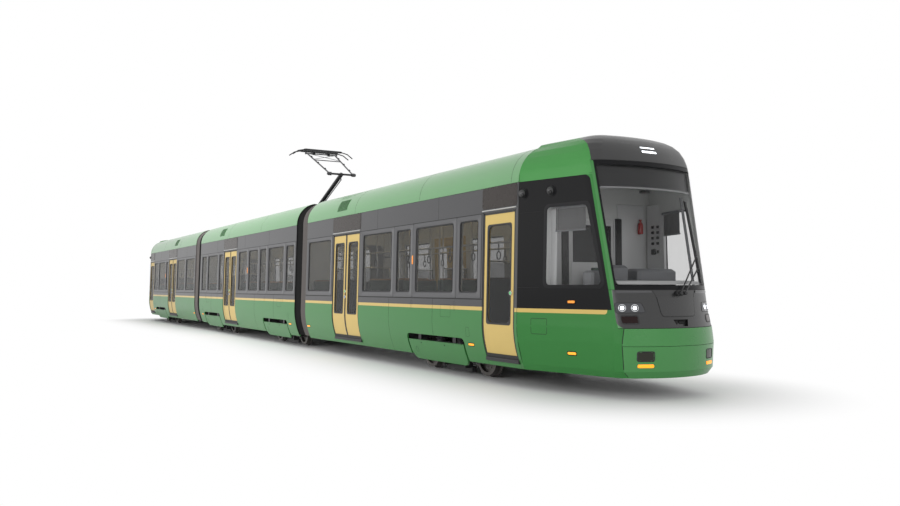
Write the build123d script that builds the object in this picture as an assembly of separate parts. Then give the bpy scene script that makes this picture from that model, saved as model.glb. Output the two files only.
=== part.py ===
"""Three-section low-floor tram: every solid piece, one STEP file for each node.

X runs along the tram with the front cab at +X, Y points to its left and Z up.
Z = 0 is the lowest point of the wheel flanges. All sizes are in millimetres.
"""
import os
from collections import namedtuple
from math import cos, radians, sin, sqrt

from build123d import *

# Overall form
WIDTH = 2650.0
HALF = WIDTH / 2
FIT = 0.3
FAR = 40000.0

# Wheels
TREAD_R = 300.0
FLANGE = 26.0
FLANGE_R = TREAD_R + FLANGE
AXLE_Z = FLANGE_R
AXLE_R = 60.0
BACK_Y = 680.0
TREAD_Y = 815.0
WEB_R = 238.0
WEB_Y0 = 725.0
WEB_Y1 = 765.0
HUB_R = 110.0
HUB_Y0 = 640.0
HUB_Y1 = 835.0
JOURNAL_Y = 960.0

# Side profile
SILL_Z = 285.0
BELT_Z = 926.0
CANT_Z = 2990.0
CANT_IN = 50.0
CANT_HALF = HALF - CANT_IN
LEAN = CANT_IN / (CANT_Z - BELT_Z)
SKIRT_R = 1500.0
WALL = 60.0

# Roof
ROOF_R = 550.0
ROOF_SWEEP = 80.0
ROOF_SKIN = 30.0
ROOF_SLAB = 50.0
ROOF_HUB = CANT_HALF - ROOF_R
SLAB_TOP = CANT_Z + ROOF_SLAB
UNIT_HIGH = 420.0
UNIT_HALF = 700.0
UNIT_EDGE = 40.0
RIB = 60.0
RIB_PITCH = 200.0
RIB_DEEP = 15.0

# Floor
FLOOR_Z = 470.0
FLOOR_LOW = 330.0
AISLE_LOW = 420.0
AISLE_HALF = 470.0
BOX_TOP = 800.0
BOX_SKIN = 30.0
BAY_HALF = 1400.0
PAD = 160.0
PAD_Y = 900.0
PAD_DROP = 25.0

# Windows
FRAME_EDGE = 100.0
GLASS_LOW = 1381.0
GLASS_TOP = 2516.0
GLASS_R = 60.0
PANE = 10.0
PANE_RECESS = 12.0

# Doors
DOOR_LOW = 350.0
DOOR_TOP = 2600.0
STEP_TOP = 415.0
STEP_OUT = 22.0
STEP_IN = 1000.0
LEAF = 45.0
LEAF_RECESS = 12.0
DOUBLE = 1420.0
SINGLE = 876.0
LEAF_GLASS_LOW = 930.0
LEAF_GLASS_TOP = 2394.0
LEAF_GLASS_R = 110.0
LEAF_EDGE = 130.0

# Bogies
WHEELBASE = 1850.0
BEAM_Y0 = 870.0
BEAM_Y1 = 970.0
BOGIE_PIN_R = 90.0
BOGIE_PIN_TOP = 455.0
BOGIE_FROM_CAB = 2510.0
BOGIE_FROM_GANGWAY = 1630.0
COVER_LEN = 1900.0
COVER_LOW = 200.0
COVER_TOP = 550.0
COVER_SKIN = 35.0
COVER_CORNER = 160.0
HANGER = 100.0
HANGER_X = 600.0
HANGER_SKIN = 24.0
ARCH_LEN = 2000.0
ARCH_TOP = 652.0
ARCH_R = 90.0

# Seats
SEAT_Y0 = 490.0
SEAT_Y1 = 1160.0
SEAT_LEG = 350.0
SEAT_FROM_BAY = 120.0
BOX_SEAT_X = 1370.0
BOX_SEAT_GAP = 70.0

# Gangway
GAP = 760.0
PIVOT_R = 60.0
TONGUE_HALF = 600.0
TONGUE_R = 330.0
TONGUE_SPLIT = 397.0
TONGUE_GAP = 6.0
PORTAL = 50.0
PORTAL_HALF = 700.0
PORTAL_HIGH = 2030.0
PORTAL_R = 160.0
FOLDS = 8
FOLD_OUT = 45.0
FOLD_IN = 95.0
FOLD_BACK = 160.0
BELLOWS_LOW = 320.0

# Bays from the rear end of a section: gap before, kind, width, ways that its floor seats face
FRONT_BAYS = (
    (40.0, "window", 1562.0, (1, -1)),
    (53.0, "door", DOUBLE, ()),
    (80.0, "window", 1512.0, (1, -1)),
    (8.0, "window", 757.0, ()),
    (8.0, "window", 1519.0, ()),
    (8.0, "window", 753.0, ()),
    (45.0, "door", SINGLE, ()),
    (59.0, "end", 0.0, ()),
)
MIDDLE_BAYS = (
    (180.0, "window", 819.0, ()),
    (8.0, "window", 1427.0, ()),
    (8.0, "window", 618.0, ()),
    (54.0, "door", DOUBLE, ()),
    (184.0, "window", 1009.0, (1,)),
    (8.0, "window", 1053.0, (-1,)),
    (8.0, "window", 738.0, ()),
    (8.0, "window", 1432.0, ()),
    (8.0, "window", 778.0, ()),
    (40.0, "end", 0.0, ()),
)
REAR_BAYS = (
    (59.0, "door", SINGLE, ()),
    (95.0, "window", 973.0, ()),
    (8.0, "window", 1461.0, ()),
    (8.0, "window", 530.0, ()),
    (80.0, "door", DOUBLE, ()),
    (93.0, "window", 1508.0, (1, -1)),
    (8.0, "window", 1541.0, (1, -1)),
    (40.0, "end", 0.0, ()),
)

# Roof cases and lifting pads of a section, measured from its gangway end
END_UNITS = ((440.0, 2200.0), (3440.0, 3600.0))
MIDDLE_UNITS = ((600.0, 1800.0), (2700.0, 2900.0))
END_PADS = (4140.0, 8090.0)
MIDDLE_PADS = (3400.0, 6400.0)

Section = namedtuple("Section", "name x0 x1 windows doors seats bogies units pads gangways")


def bay_length(bays):
    return sum(gap + width for gap, kind, width, ways in bays)


MID_END = bay_length(MIDDLE_BAYS) / 2
END_START = MID_END + GAP
PIVOT_X = MID_END + GAP / 2
CAB_X = END_START + bay_length(FRONT_BAYS)
REAR_X = END_START + bay_length(REAR_BAYS)

# Cab rows: height, nose set-back, corner half-width, corner set-back
CAB_ROWS = (
    (286.0, 70.0, 800.0, 290.0),
    (376.0, 10.0, 845.0, 300.0),
    (726.0, 0.0, 862.0, 300.0),
    (926.0, 35.0, 862.0, 300.0),
    (1026.0, 75.0, 862.0, 300.0),
    (1226.0, 120.0, 864.0, 300.0),
    (1456.0, 160.0, 870.0, 300.0),
    (3126.0, 555.0, 925.0, 205.0),
    (3226.0, 585.0, 920.0, 190.0),
    (3326.0, 630.0, 900.0, 172.0),
    (3426.0, 695.0, 862.0, 152.0),
    (3500.0, 770.0, 795.0, 132.0),
    (3552.0, 855.0, 705.0, 112.0),
    (3588.0, 950.0, 605.0, 92.0),
    (3612.0, 1070.0, 480.0, 70.0),
    (3628.0, 1250.0, 290.0, 42.0),
)
CAB_LEN = 1960.0
NOSE = CAB_X + CAB_LEN
CAB_LAP = 360.0
CORNER_ROUND = 0.33
DOME_LOW = 3500.0
DOME_TOP = 3645.0
SCREEN_LOW = 1430.0
SCREEN_TOP = 3180.0
SCREEN_PANE = 25.0
MASK_LOW = 932.0
PILLAR_IN = 14.0
VISOR_BACK = ((1170.0, 905.0), (765.0, 770.0), (590.0, 450.0))
BUMPER_BACK = 290.0
BUMPER_SEAM = 700.0
SEAM = 5.0
SIDE_WINDOW = ((470.0, 1475.0), (1395.0, 1475.0), (1152.0, 2600.0), (470.0, 2600.0))
SIDE_WINDOW_R = 55.0
LENS = 45.0
HEADLAMPS = (634.0, 776.0)
HEADLAMP_Z = 1194.0
HEADLAMP_R = 52.0
CAMERA_X = (80.0, 560.0)
CAMERA_Z = 2809.0
CAMERA_R = 62.0
COUPLER_SLOT = ((-95.0, 952.0), (95.0, 952.0), (130.0, 1040.0), (-130.0, 1040.0))

# Small front lamps: Y limits and Z limits, on both sides
SIDE_LAMPS = (
    (620.0, 800.0, 1000.0, 1085.0),
    (478.0, 665.0, 520.0, 625.0),
    (478.0, 665.0, 430.0, 470.0),
    (2.0, 130.0, 3320.0, 3345.0),
    (2.0, 130.0, 3388.0, 3402.0),
)
WIPER_Z = 1385.0
WIPER_ARMS = ((0.0, 1880.0), (80.0, 1730.0))
WIPER_LOW = (588.0, 1520.0)
WIPER_TOP = (534.0, 2655.0)
WIPER_OUT = 26.0
SPINDLE_R = 18.0
BULKHEAD = 40.0

# Desk profile as X behind the nose and Z; driver's chair as X ahead of the door post and Z
DESK_TOP = ((1080.0, 1180.0), (1060.0, 1250.0), (760.0, 1330.0), (420.0, 1380.0), (200.0, 1380.0))
DESK_KNEE = ((620.0, FLOOR_Z + FIT), (680.0, 1050.0))
CHAIR = ((400.0, 920.0), (880.0, 930.0), (880.0, 1020.0), (500.0, 1000.0), (440.0, 1750.0), (360.0, 1750.0))
CHAIR_HALF = 250.0
CHAIR_X = 660.0

# Pantograph pivots as X and Z
PANTO = (2610.0, 3500.0)
KNEE = (4624.0, 4357.0)
APEX = (3190.0, 5070.0)
HEAD_Z = 5150.0
PANTO_BASE_X = 600.0
PANTO_BASE_Y = 380.0
INSULATOR = 190.0
BASE_TUBE = 60.0
ARM_R = 52.0
UPPER_R = 19.0
STRIP_X = 140.0
STRIP_HALF = 530.0
HORN_R = 14.0


# Layout of the sections
def lay_out(start, bays):
    """Window and door limits and floor seats of one section."""
    windows = []
    doors = []
    seats = []
    x = start
    for gap, kind, width, ways in bays:
        x0 = x + gap
        x = x0 + width
        if kind == "window":
            windows.append((x0 + FRAME_EDGE, x - FRAME_EDGE))
        if kind == "door":
            doors.append((x0, x))
        for way in ways:
            seats.append((x0 + SEAT_FROM_BAY if way > 0 else x - SEAT_FROM_BAY, way))
    return windows, doors, seats


def front_section():
    x0, x1 = END_START, CAB_X
    units = [(x0 + a, x0 + a + length) for a, length in END_UNITS]
    pads = [x0 + a for a in END_PADS]
    return Section("front", x0, x1, *lay_out(x0, FRONT_BAYS), [x1 - BOGIE_FROM_CAB], units, pads, [x0])


def middle_section():
    x0, x1 = -MID_END, MID_END
    units = [(x0 + a, x0 + a + length) for a, length in MIDDLE_UNITS]
    pads = [x0 + a for a in MIDDLE_PADS]
    bogies = [x1 - BOGIE_FROM_GANGWAY, x0 + BOGIE_FROM_GANGWAY]
    return Section("middle", x0, x1, *lay_out(x0, MIDDLE_BAYS), bogies, units, pads, [x0, x1 - PORTAL])


def rear_section():
    x0, x1 = -REAR_X, -END_START
    units = [(x1 - a - length, x1 - a) for a, length in END_UNITS]
    pads = [x1 - a for a in END_PADS]
    return Section("rear", x0, x1, *lay_out(x0, REAR_BAYS), [x0 + BOGIE_FROM_CAB], units, pads, [x1 - PORTAL])


# Shapes
def side_y(z, inset):
    """Half-width of the body side at height z, moved in by inset."""
    if z < BELT_Z:
        return HALF - SKIRT_R + sqrt((SKIRT_R - inset) ** 2 - (BELT_Z - z) ** 2)
    return HALF - inset - LEAN * (z - BELT_Z)


def side_edges(z0, z1, inset):
    """Edges of the body side from z0 up to z1."""
    edges = []
    if z0 < BELT_Z:
        top = min(z1, BELT_Z)
        marks = [(side_y(z, inset), z) for z in (z0, (z0 + top) / 2, top)]
        edges.append(ThreePointArc(*marks))
    if z1 > BELT_Z:
        low = max(z0, BELT_Z)
        edges.append(Line((side_y(low, inset), low), (side_y(z1, inset), z1)))
    return edges


def along(face, x0, x1):
    """Extrude a face drawn as Y and Z from x0 to x1."""
    return Pos(x0, 0, 0) * extrude(Plane.YZ * face, amount=x1 - x0)


def side_strip(x0, x1, z0, z1, outer, inner):
    """Piece of the left body side between two insets."""
    edges = side_edges(z0, z1, outer) + side_edges(z0, z1, inner)
    for z in (z0, z1):
        edges.append(Line((side_y(z, outer), z), (side_y(z, inner), z)))
    return along(make_face(edges), x0, x1)


def inside_slab(x0, x1, z0, z1):
    """Slab that fills the width between the two side walls."""
    left = side_edges(z0, z1, WALL + FIT)
    right = [edge.mirror(Plane.YZ) for edge in left]
    edges = left + right
    for z in (z0, z1):
        y = side_y(z, WALL + FIT)
        edges.append(Line((-y, z), (y, z)))
    return along(make_face(edges), x0, x1)


def block(x0, x1, y0, y1, z0, z1):
    """Box given by its limits."""
    size = Box(x1 - x0, y1 - y0, z1 - z0)
    return Pos((x0 + x1) / 2, (y0 + y1) / 2, (z0 + z1) / 2) * size


def flip(piece):
    """Same piece on the other side of the tram."""
    return mirror(piece, about=Plane.XZ)


def pair(piece):
    return [piece, flip(piece)]


def window(x0, x1, z0, z1, radius):
    """Rounded opening through both sides."""
    outline = RectangleRounded(x1 - x0, z1 - z0, radius)
    return extrude(Plane.XZ * Pos((x0 + x1) / 2, (z0 + z1) / 2) * outline, amount=WIDTH, both=True)


def outline_y(points, y0, y1, radius=0.0):
    """Extrude a polygon drawn as X and Z from y0 to y1, with its corners rounded."""
    face = make_face(Polyline(*points, close=True).edges())
    if radius:
        face = fillet(face.vertices(), radius)
    return Pos(0, y1, 0) * extrude(Plane.XZ * face, amount=y1 - y0)


def rod(start, end, radius):
    """Round bar between two points."""
    a = Vector(*start)
    b = Vector(*end)
    line = b - a
    seat = Plane(origin=a, z_dir=line)
    return seat * Cylinder(radius, line.length, align=(Align.CENTER, Align.CENTER, Align.MIN))


def post(x, y, z0, z1, radius):
    """Upright round bar."""
    return rod((x, y, z0), (x, y, z1), radius)


def save(node, pieces):
    solids = [solid for piece in pieces for solid in piece.solids()]
    export_step(Compound(solids), f"parts/{node}.step")


# Body sections
def leaves(door):
    """X limits of the leaves in one door."""
    x0, x1 = door
    if x1 - x0 > SINGLE + SINGLE / 4:
        middle = (x0 + x1) / 2
        return ((x0, middle), (middle, x1))
    return (door,)


def leaf_glass(x0, x1, grow):
    edge = LEAF_EDGE - grow
    return window(x0 + edge, x1 - edge, LEAF_GLASS_LOW - grow, LEAF_GLASS_TOP + grow, LEAF_GLASS_R)


def make_walls(sec):
    wall = side_strip(sec.x0, sec.x1, SILL_Z, CANT_Z - FIT, 0.0, WALL)
    for x0, x1 in sec.windows:
        wall -= window(x0, x1, GLASS_LOW, GLASS_TOP, GLASS_R)
    for x0, x1 in sec.doors:
        wall -= block(x0, x1, 0, WIDTH, DOOR_LOW, DOOR_TOP)
    for x in sec.bogies:
        wall -= window(x - ARCH_LEN / 2, x + ARCH_LEN / 2, 0, ARCH_TOP, ARCH_R)
    return pair(wall)


def make_covers(sec):
    """Skirt panels over the bogies, each on two hangers behind the wall."""
    pieces = []
    hook_low = COVER_TOP - 80.0
    back = side_y(ARCH_TOP, WALL) - FIT
    for x in sec.bogies:
        skin = side_strip(x - COVER_LEN, x + COVER_LEN, COVER_LOW - COVER_SKIN, COVER_TOP, 0.0, COVER_SKIN)
        skin &= window(x - COVER_LEN / 2, x + COVER_LEN / 2, COVER_LOW, 2 * COVER_TOP, COVER_CORNER)
        for end in (-HANGER_X, HANGER_X):
            x0 = x + end - HANGER / 2
            skin += block(x0, x0 + HANGER, back - HANGER_SKIN, side_y(hook_low, 6.0), hook_low, COVER_TOP - 10)
            skin += block(x0, x0 + HANGER, back - HANGER_SKIN, back, hook_low, ARCH_TOP + 70)
        pieces += pair(skin)
    return pieces


def make_glass(sec):
    panes = []
    for x0, x1 in sec.windows:
        slab = side_strip(x0 - PANE, x1 + PANE, GLASS_LOW - PANE, GLASS_TOP + PANE, PANE_RECESS, PANE_RECESS + PANE)
        slab &= window(x0 + FIT, x1 - FIT, GLASS_LOW + FIT, GLASS_TOP - FIT, GLASS_R - FIT)
        panes += pair(slab)
    depth = LEAF_RECESS + PANE_RECESS
    for door in sec.doors:
        for x0, x1 in leaves(door):
            slab = side_strip(x0, x1, BELT_Z, DOOR_TOP, depth, depth + PANE)
            panes += pair(slab & leaf_glass(x0, x1, -FIT))
    return panes


def make_doors(sec):
    pieces = []
    for door in sec.doors:
        for x0, x1 in leaves(door):
            leaf = side_strip(x0 + FIT, x1 - FIT, STEP_TOP + FIT, DOOR_TOP - FIT, LEAF_RECESS, LEAF_RECESS + LEAF)
            pieces += pair(leaf - leaf_glass(x0, x1, 0.0))
    return pieces


def roof_point(radius, angle):
    return (ROOF_HUB + radius * cos(radians(angle)), CANT_Z + radius * sin(radians(angle)))


def make_roof(sec):
    """Roof slab with a curved fairing along each side."""
    inner = ROOF_R - ROOF_SKIN
    foot = (ROOF_HUB + sqrt(inner ** 2 - ROOF_SLAB ** 2), SLAB_TOP)
    outside = [roof_point(ROOF_R, angle) for angle in (0.0, ROOF_SWEEP / 2, ROOF_SWEEP)]
    lip = roof_point(inner, ROOF_SWEEP)
    left = [
        ThreePointArc(*outside),
        Line(outside[-1], lip),
        ThreePointArc(lip, roof_point(inner, ROOF_SWEEP / 2), foot),
    ]
    edges = left + [edge.mirror(Plane.YZ) for edge in left]
    edges.append(Line(foot, (-foot[0], foot[1])))
    edges.append(Line(outside[0], (-CANT_HALF, CANT_Z)))
    return [along(make_face(edges), sec.x0, sec.x1)]


def make_units(sec):
    """Equipment cases on the roof slab, with cooling ribs across their tops."""
    low = SLAB_TOP + FIT
    top = low + UNIT_HIGH
    pieces = []
    for x0, x1 in sec.units:
        case = block(x0, x1, -UNIT_HALF, UNIT_HALF, low, top)
        case = chamfer(case.edges().group_by(Axis.Z)[-1], UNIT_EDGE)
        count = int((x1 - x0 - 2 * RIB_PITCH) / RIB_PITCH)
        start = (x0 + x1 - (count - 1) * RIB_PITCH) / 2
        for index in range(count):
            x = start + index * RIB_PITCH
            inner = UNIT_HALF - 3 * UNIT_EDGE
            case -= block(x - RIB / 2, x + RIB / 2, -inner, inner, top - RIB_DEEP, top + RIB_DEEP)
        pieces.append(case)
    return pieces


def make_portals(sec):
    """End frames round the gangway."""
    pieces = []
    hole = Plane.YZ * Pos(0, FLOOR_Z) * RectangleRounded(2 * PORTAL_HALF, 2 * PORTAL_HIGH, PORTAL_R)
    for x in sec.gangways:
        plate = inside_slab(x, x + PORTAL, FLOOR_Z + FIT, CANT_Z - FIT)
        pieces.append(plate - Pos(x, 0, 0) * extrude(hole, amount=PORTAL, both=True))
    return pieces


def make_floor(sec):
    """Underframe with bogie bays, wheel boxes, door steps and lifting pads."""
    floor = inside_slab(sec.x0, sec.x1, FLOOR_LOW, FLOOR_Z)
    aisle = AISLE_HALF - BOX_SKIN
    for x in sec.bogies:
        x0 = x - BAY_HALF
        x1 = x + BAY_HALF
        box = inside_slab(x0 - BOX_SKIN, x1 + BOX_SKIN, FLOOR_Z, BOX_TOP)
        box -= block(x0 - 2 * BOX_SKIN, x1 + 2 * BOX_SKIN, -aisle, aisle, FLOOR_Z - BOX_SKIN, BOX_TOP + BOX_SKIN)
        floor += box
        for y0, y1 in ((AISLE_HALF, WIDTH), (-WIDTH, -AISLE_HALF)):
            floor -= block(x0, x1, y0, y1, 0, BOX_TOP - BOX_SKIN)
        floor -= block(x0, x1, -AISLE_HALF, AISLE_HALF, 0, AISLE_LOW)
        floor -= post(x, 0, 0, BOGIE_PIN_TOP + 3, BOGIE_PIN_R + FIT)
    for x0, x1 in sec.doors:
        z = (DOOR_LOW + STEP_TOP) / 2
        step = block(x0 + FIT, x1 - FIT, STEP_IN, side_y(z, 0) + STEP_OUT, DOOR_LOW + 2, STEP_TOP)
        step = fillet(step.edges().filter_by(Axis.X).group_by(Axis.Y)[-1], STEP_OUT - 2)
        for piece in pair(step):
            floor += piece
    for x in sec.pads:
        for y in (-PAD_Y, PAD_Y):
            floor += block(x - PAD / 2, x + PAD / 2, y - PAD / 2, y + PAD / 2, FLOOR_LOW - PAD_DROP, FLOOR_LOW + 5)
    return floor


def tongue(x, way, z0, z1):
    """Flat coupling plate, round about the pivot, that reaches back along way."""
    x0, x1 = sorted((x, x + way * GAP / 2))
    return block(x0, x1, -TONGUE_HALF, TONGUE_HALF, z0, z1) + post(x, 0, z0, z1, TONGUE_R)


def add_couplings(sec, floor):
    """Lower tongue with the pin on the middle section, upper lug with the bore on the end sections."""
    for side in (1, -1):
        x = side * PIVOT_X
        if sec.name == "middle":
            floor += tongue(x, -side, FLOOR_LOW, TONGUE_SPLIT - TONGUE_GAP / 2)
            floor += post(x, 0, FLOOR_LOW, FLOOR_Z - 10, PIVOT_R)
        elif sec.x0 < x + side * GAP < sec.x1:
            lug = tongue(x, side, TONGUE_SPLIT + TONGUE_GAP / 2, FLOOR_Z - 3)
            floor += lug - post(x, 0, 0, 2 * FLOOR_Z, PIVOT_R + FIT)
    return floor


def seat(x, way, base, leg):
    """Double seat; the passenger faces along way times X."""
    points = [(10, leg), (440, leg), (485, leg + 40), (480, leg + 95), (110, leg + 75), (20, leg + 790), (-50, leg + 790)]
    shape = outline_y([(x + way * a, base + b) for a, b in points], SEAT_Y0, SEAT_Y1, 18.0)
    if leg > 0:
        x0, x1 = sorted((x + way * 120, x + way * 340))
        shape += block(x0, x1, SEAT_Y0 + 150, SEAT_Y1 - 150, base, base + leg + 5)
    return shape


def make_seats(sec):
    pieces = []
    for x in sec.bogies:
        for dx, way in ((-BOX_SEAT_X, 1), (-BOX_SEAT_GAP, -1), (BOX_SEAT_GAP, 1), (BOX_SEAT_X, -1)):
            pieces += pair(seat(x + dx, way, BOX_TOP + FIT, 0.0))
    for x, way in sec.seats:
        pieces += pair(seat(x, way, FLOOR_Z + FIT, SEAT_LEG))
    return pieces


# Cab at the +X end
def post_half(z):
    """Half-width of the body where the cab begins, closing to a low dome above the roof."""
    if z <= CANT_Z:
        return side_y(z, 0.0)
    rise = min(z, DOME_LOW) - CANT_Z
    half = ROOF_HUB + sqrt(ROOF_R ** 2 - rise ** 2)
    if z > DOME_LOW:
        half *= sqrt(1 - ((z - DOME_LOW) / (DOME_TOP - DOME_LOW)) ** 2)
    return half


def cab_outline(row, inset):
    """Level section of the cab: straight sides, round corners and an arched front."""
    z, set_back, corner, back = row
    nose = NOSE - set_back
    start = CAB_X - CAB_LAP
    slope = (post_half(z) - corner) / (nose - back - CAB_X)
    side = post_half(z) + slope * CAB_LAP
    edges = [
        Line((start, -side), (nose - back, -corner)),
        ThreePointArc((nose - back, -corner), (nose, 0), (nose - back, corner)),
        Line((nose - back, corner), (start, side)),
        Line((start, side), (start, -side)),
    ]
    face = make_face(edges)
    face = fillet(face.vertices().group_by(Axis.X)[-1], CORNER_ROUND * corner)
    if inset:
        face = offset(face, -inset, kind=Kind.INTERSECTION)
    return face


def cab_form(inset):
    """Closed cab shape, moved in by inset all round and below the roof."""
    sections = []
    for row in CAB_ROWS:
        z = row[0]
        if z > CANT_Z:
            z -= inset
        if row is CAB_ROWS[0]:
            z -= inset
        sections.append(Pos(0, 0, z) * cab_outline(row, inset))
    form = loft(sections, ruled=True)
    return form & block(CAB_X + FIT, FAR, -HALF, HALF, 0, FAR)


def row_at(z):
    """Nose X, corner half-width and corner set-back between the rows."""
    below = [row for row in CAB_ROWS if row[0] <= z][-1]
    above = [row for row in CAB_ROWS if row[0] > z][0]
    part = (z - below[0]) / (above[0] - below[0])
    set_back, corner, back = [a + part * (b - a) for a, b in zip(below[1:], above[1:])]
    return NOSE - set_back, corner, back


def screen_x(y, z):
    """X of the arched cab front."""
    nose, corner, back = row_at(z)
    radius = (corner ** 2 + back ** 2) / (2 * back)
    return nose - radius + sqrt(radius ** 2 - y ** 2)


def near_screen(y, z, out):
    """Point in front of the cab surface."""
    return (screen_x(y, z) + out, y, z)


def front_prism(points):
    """Extrude a polygon drawn as Y and Z through the cab front."""
    face = make_face(Polyline(*points, close=True).edges())
    return along(face, CAB_X + CAB_LAP, FAR)


def between_pillars(z0, z1, fit):
    """Front region between the pillars from z0 to z1."""
    heights = [z0] + [row[0] for row in CAB_ROWS if z0 < row[0] < z1] + [z1]
    left = [(row_at(z)[1] - PILLAR_IN - fit, z) for z in heights]
    return front_prism(left + [(-y, z) for y, z in reversed(left)])


def visor_region(fit):
    """Plan of the dark dome above the windscreen."""
    left = [(CAB_X + x + fit, y - fit) for x, y in VISOR_BACK]
    left.insert(0, (FAR, left[0][1]))
    points = left + [(x, -y) for x, y in reversed(left)]
    face = make_face(Polyline(*points, close=True).edges())
    return Pos(0, 0, SCREEN_TOP) * extrude(face, amount=CANT_Z)


def side_pane(fit):
    points = [(CAB_X + x, z) for x, z in SIDE_WINDOW]
    face = make_face(Polyline(*points, close=True).edges())
    face = fillet(face.vertices(), SIDE_WINDOW_R)
    if fit:
        face = offset(face, -fit)
    return extrude(Plane.XZ * face, amount=WIDTH, both=True)


def front_lamps(grow):
    """Regions of the front lamps, headlamps first."""
    regions = []
    for side in (-1, 1):
        for y in HEADLAMPS:
            x = CAB_X + CAB_LAP
            regions.append(rod((x, side * y, HEADLAMP_Z), (FAR, side * y, HEADLAMP_Z), HEADLAMP_R + grow))
        for y0, y1, z0, z1 in SIDE_LAMPS:
            a, b = sorted((side * y0, side * y1))
            regions.append(block(CAB_X + CAB_LAP, FAR, a - grow, b + grow, z0 - grow, z1 + grow))
    return regions


def make_cameras(outer):
    """Round camera housings seated on the cab sides."""
    pods = []
    for dx in CAMERA_X:
        x = CAB_X + dx
        nose, corner, back = row_at(CAMERA_Z)
        half = post_half(CAMERA_Z)
        y = half - (half - corner) * dx / (nose - back - CAB_X)
        pod = Pos(x, y, CAMERA_Z) * Sphere(CAMERA_R)
        pods += pair(pod - outer)
    return pods


def make_wiper():
    """Blade carried by two parallel arms on spindles."""
    wiper = rod(near_screen(*WIPER_LOW, WIPER_OUT), near_screen(*WIPER_TOP, WIPER_OUT), 12)
    y0, z0 = WIPER_LOW
    y1, z1 = WIPER_TOP
    for y, z in WIPER_ARMS:
        x = screen_x(y, WIPER_Z)
        wiper += rod((x - WALL / 2, y, WIPER_Z), (x + 84, y, WIPER_Z), SPINDLE_R)
        blade_y = y0 + (y1 - y0) * (z - z0) / (z1 - z0)
        wiper += rod((x + 70, y, WIPER_Z), near_screen(blade_y, z, WIPER_OUT), 10)
    return wiper


def make_cab():
    outer = cab_form(0.0)
    shell = outer - cab_form(WALL)
    shell += outer & block(CAB_X + FIT, CAB_X + ROOF_SKIN, -HALF, HALF, CANT_Z, FAR)
    skin = outer - cab_form(SCREEN_PANE)
    lens = outer - cab_form(LENS)
    core = cab_form(WALL + 2)
    low = SILL_Z - WALL
    bumper_box = block(NOSE - BUMPER_BACK, FAR, -HALF, HALF, low, MASK_LOW)
    mask_box = between_pillars(MASK_LOW, SCREEN_LOW, 0.0)
    screen_box = between_pillars(SCREEN_LOW, SCREEN_TOP, 0.0)
    body = shell - bumper_box - mask_box - screen_box - visor_region(0.0) - side_pane(0.0)
    mask = shell & between_pillars(MASK_LOW, SCREEN_LOW, FIT)
    mask -= lens & front_prism(COUPLER_SLOT)
    visor = shell & visor_region(FIT)
    half_seam = SEAM / 2
    bumper = []
    for z0, z1 in ((low, BUMPER_SEAM - half_seam), (BUMPER_SEAM + half_seam, MASK_LOW - FIT)):
        bumper.append(shell & block(NOSE - BUMPER_BACK + FIT, FAR, -HALF, HALF, z0, z1))
    for cut in front_lamps(FIT):
        mask -= cut & lens
        visor -= cut & lens
        bumper = [panel - (cut & lens) for panel in bumper]
    for y, z in WIPER_ARMS:
        x = screen_x(y, WIPER_Z)
        mask -= rod((x - 2 * WALL, y, WIPER_Z), (x + WALL, y, WIPER_Z), SPINDLE_R + FIT)
    lamps = [lens & region for region in front_lamps(0.0)]
    screen = skin & between_pillars(SCREEN_LOW, SCREEN_TOP, FIT)
    panes = skin & side_pane(FIT)
    x = CAB_X + BULKHEAD
    wall = core & block(x, x + BULKHEAD, -HALF, HALF, FLOOR_Z + FIT, CANT_Z)
    desk_points = [(NOSE - a, z) for a, z in DESK_TOP]
    desk_points += [(desk_points[-1][0], FLOOR_Z + FIT)] + [(NOSE - a, z) for a, z in DESK_KNEE]
    desk = core & outline_y(desk_points, -HALF, HALF)
    floor = core & block(CAB_X, NOSE, -HALF, HALF, FLOOR_LOW, FLOOR_Z)
    floor += block(CAB_X - WALL, CAB_X + WALL, -STEP_IN, STEP_IN, FLOOR_LOW, FLOOR_Z)
    chair = outline_y([(CAB_X + x, z) for x, z in CHAIR], -CHAIR_HALF, CHAIR_HALF, 25.0)
    chair += post(CAB_X + CHAIR_X, 0, FLOOR_Z + FIT, CHAIR[0][1] + 20, 70.0)
    chair += post(CAB_X + CHAIR_X, 0, FLOOR_Z + FIT, FLOOR_Z + 30, 200.0)
    return dict(cab_shell=[body], cab_mask=[mask, visor] + make_cameras(outer), bumper=bumper, lamps=lamps,
                windscreen=[screen], glass=[panes], bulkhead=[wall], desk=[desk], floor=floor, chair=chair,
                wiper=[make_wiper()])


# Running gear
def make_wheelset(x):
    half = [(AXLE_R, HUB_Y0), (HUB_R, HUB_Y0), (HUB_R, WEB_Y0), (WEB_R, WEB_Y0), (WEB_R, BACK_Y),
            (FLANGE_R - 8, BACK_Y), (FLANGE_R, BACK_Y + 9), (FLANGE_R, BACK_Y + 18), (TREAD_R + 8, BACK_Y + 30),
            (TREAD_R, BACK_Y + 42), (TREAD_R - 3, TREAD_Y), (WEB_R, TREAD_Y), (WEB_R, WEB_Y1), (HUB_R, WEB_Y1),
            (HUB_R, HUB_Y1), (AXLE_R, HUB_Y1), (AXLE_R, JOURNAL_Y)]
    points = [(0, JOURNAL_Y), (0, -JOURNAL_Y)] + [(r, -y) for r, y in reversed(half)] + half
    face = make_face(Polyline(*points, close=True).edges())
    return Pos(x, 0, AXLE_Z) * revolve(face, Axis.Y)


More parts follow.
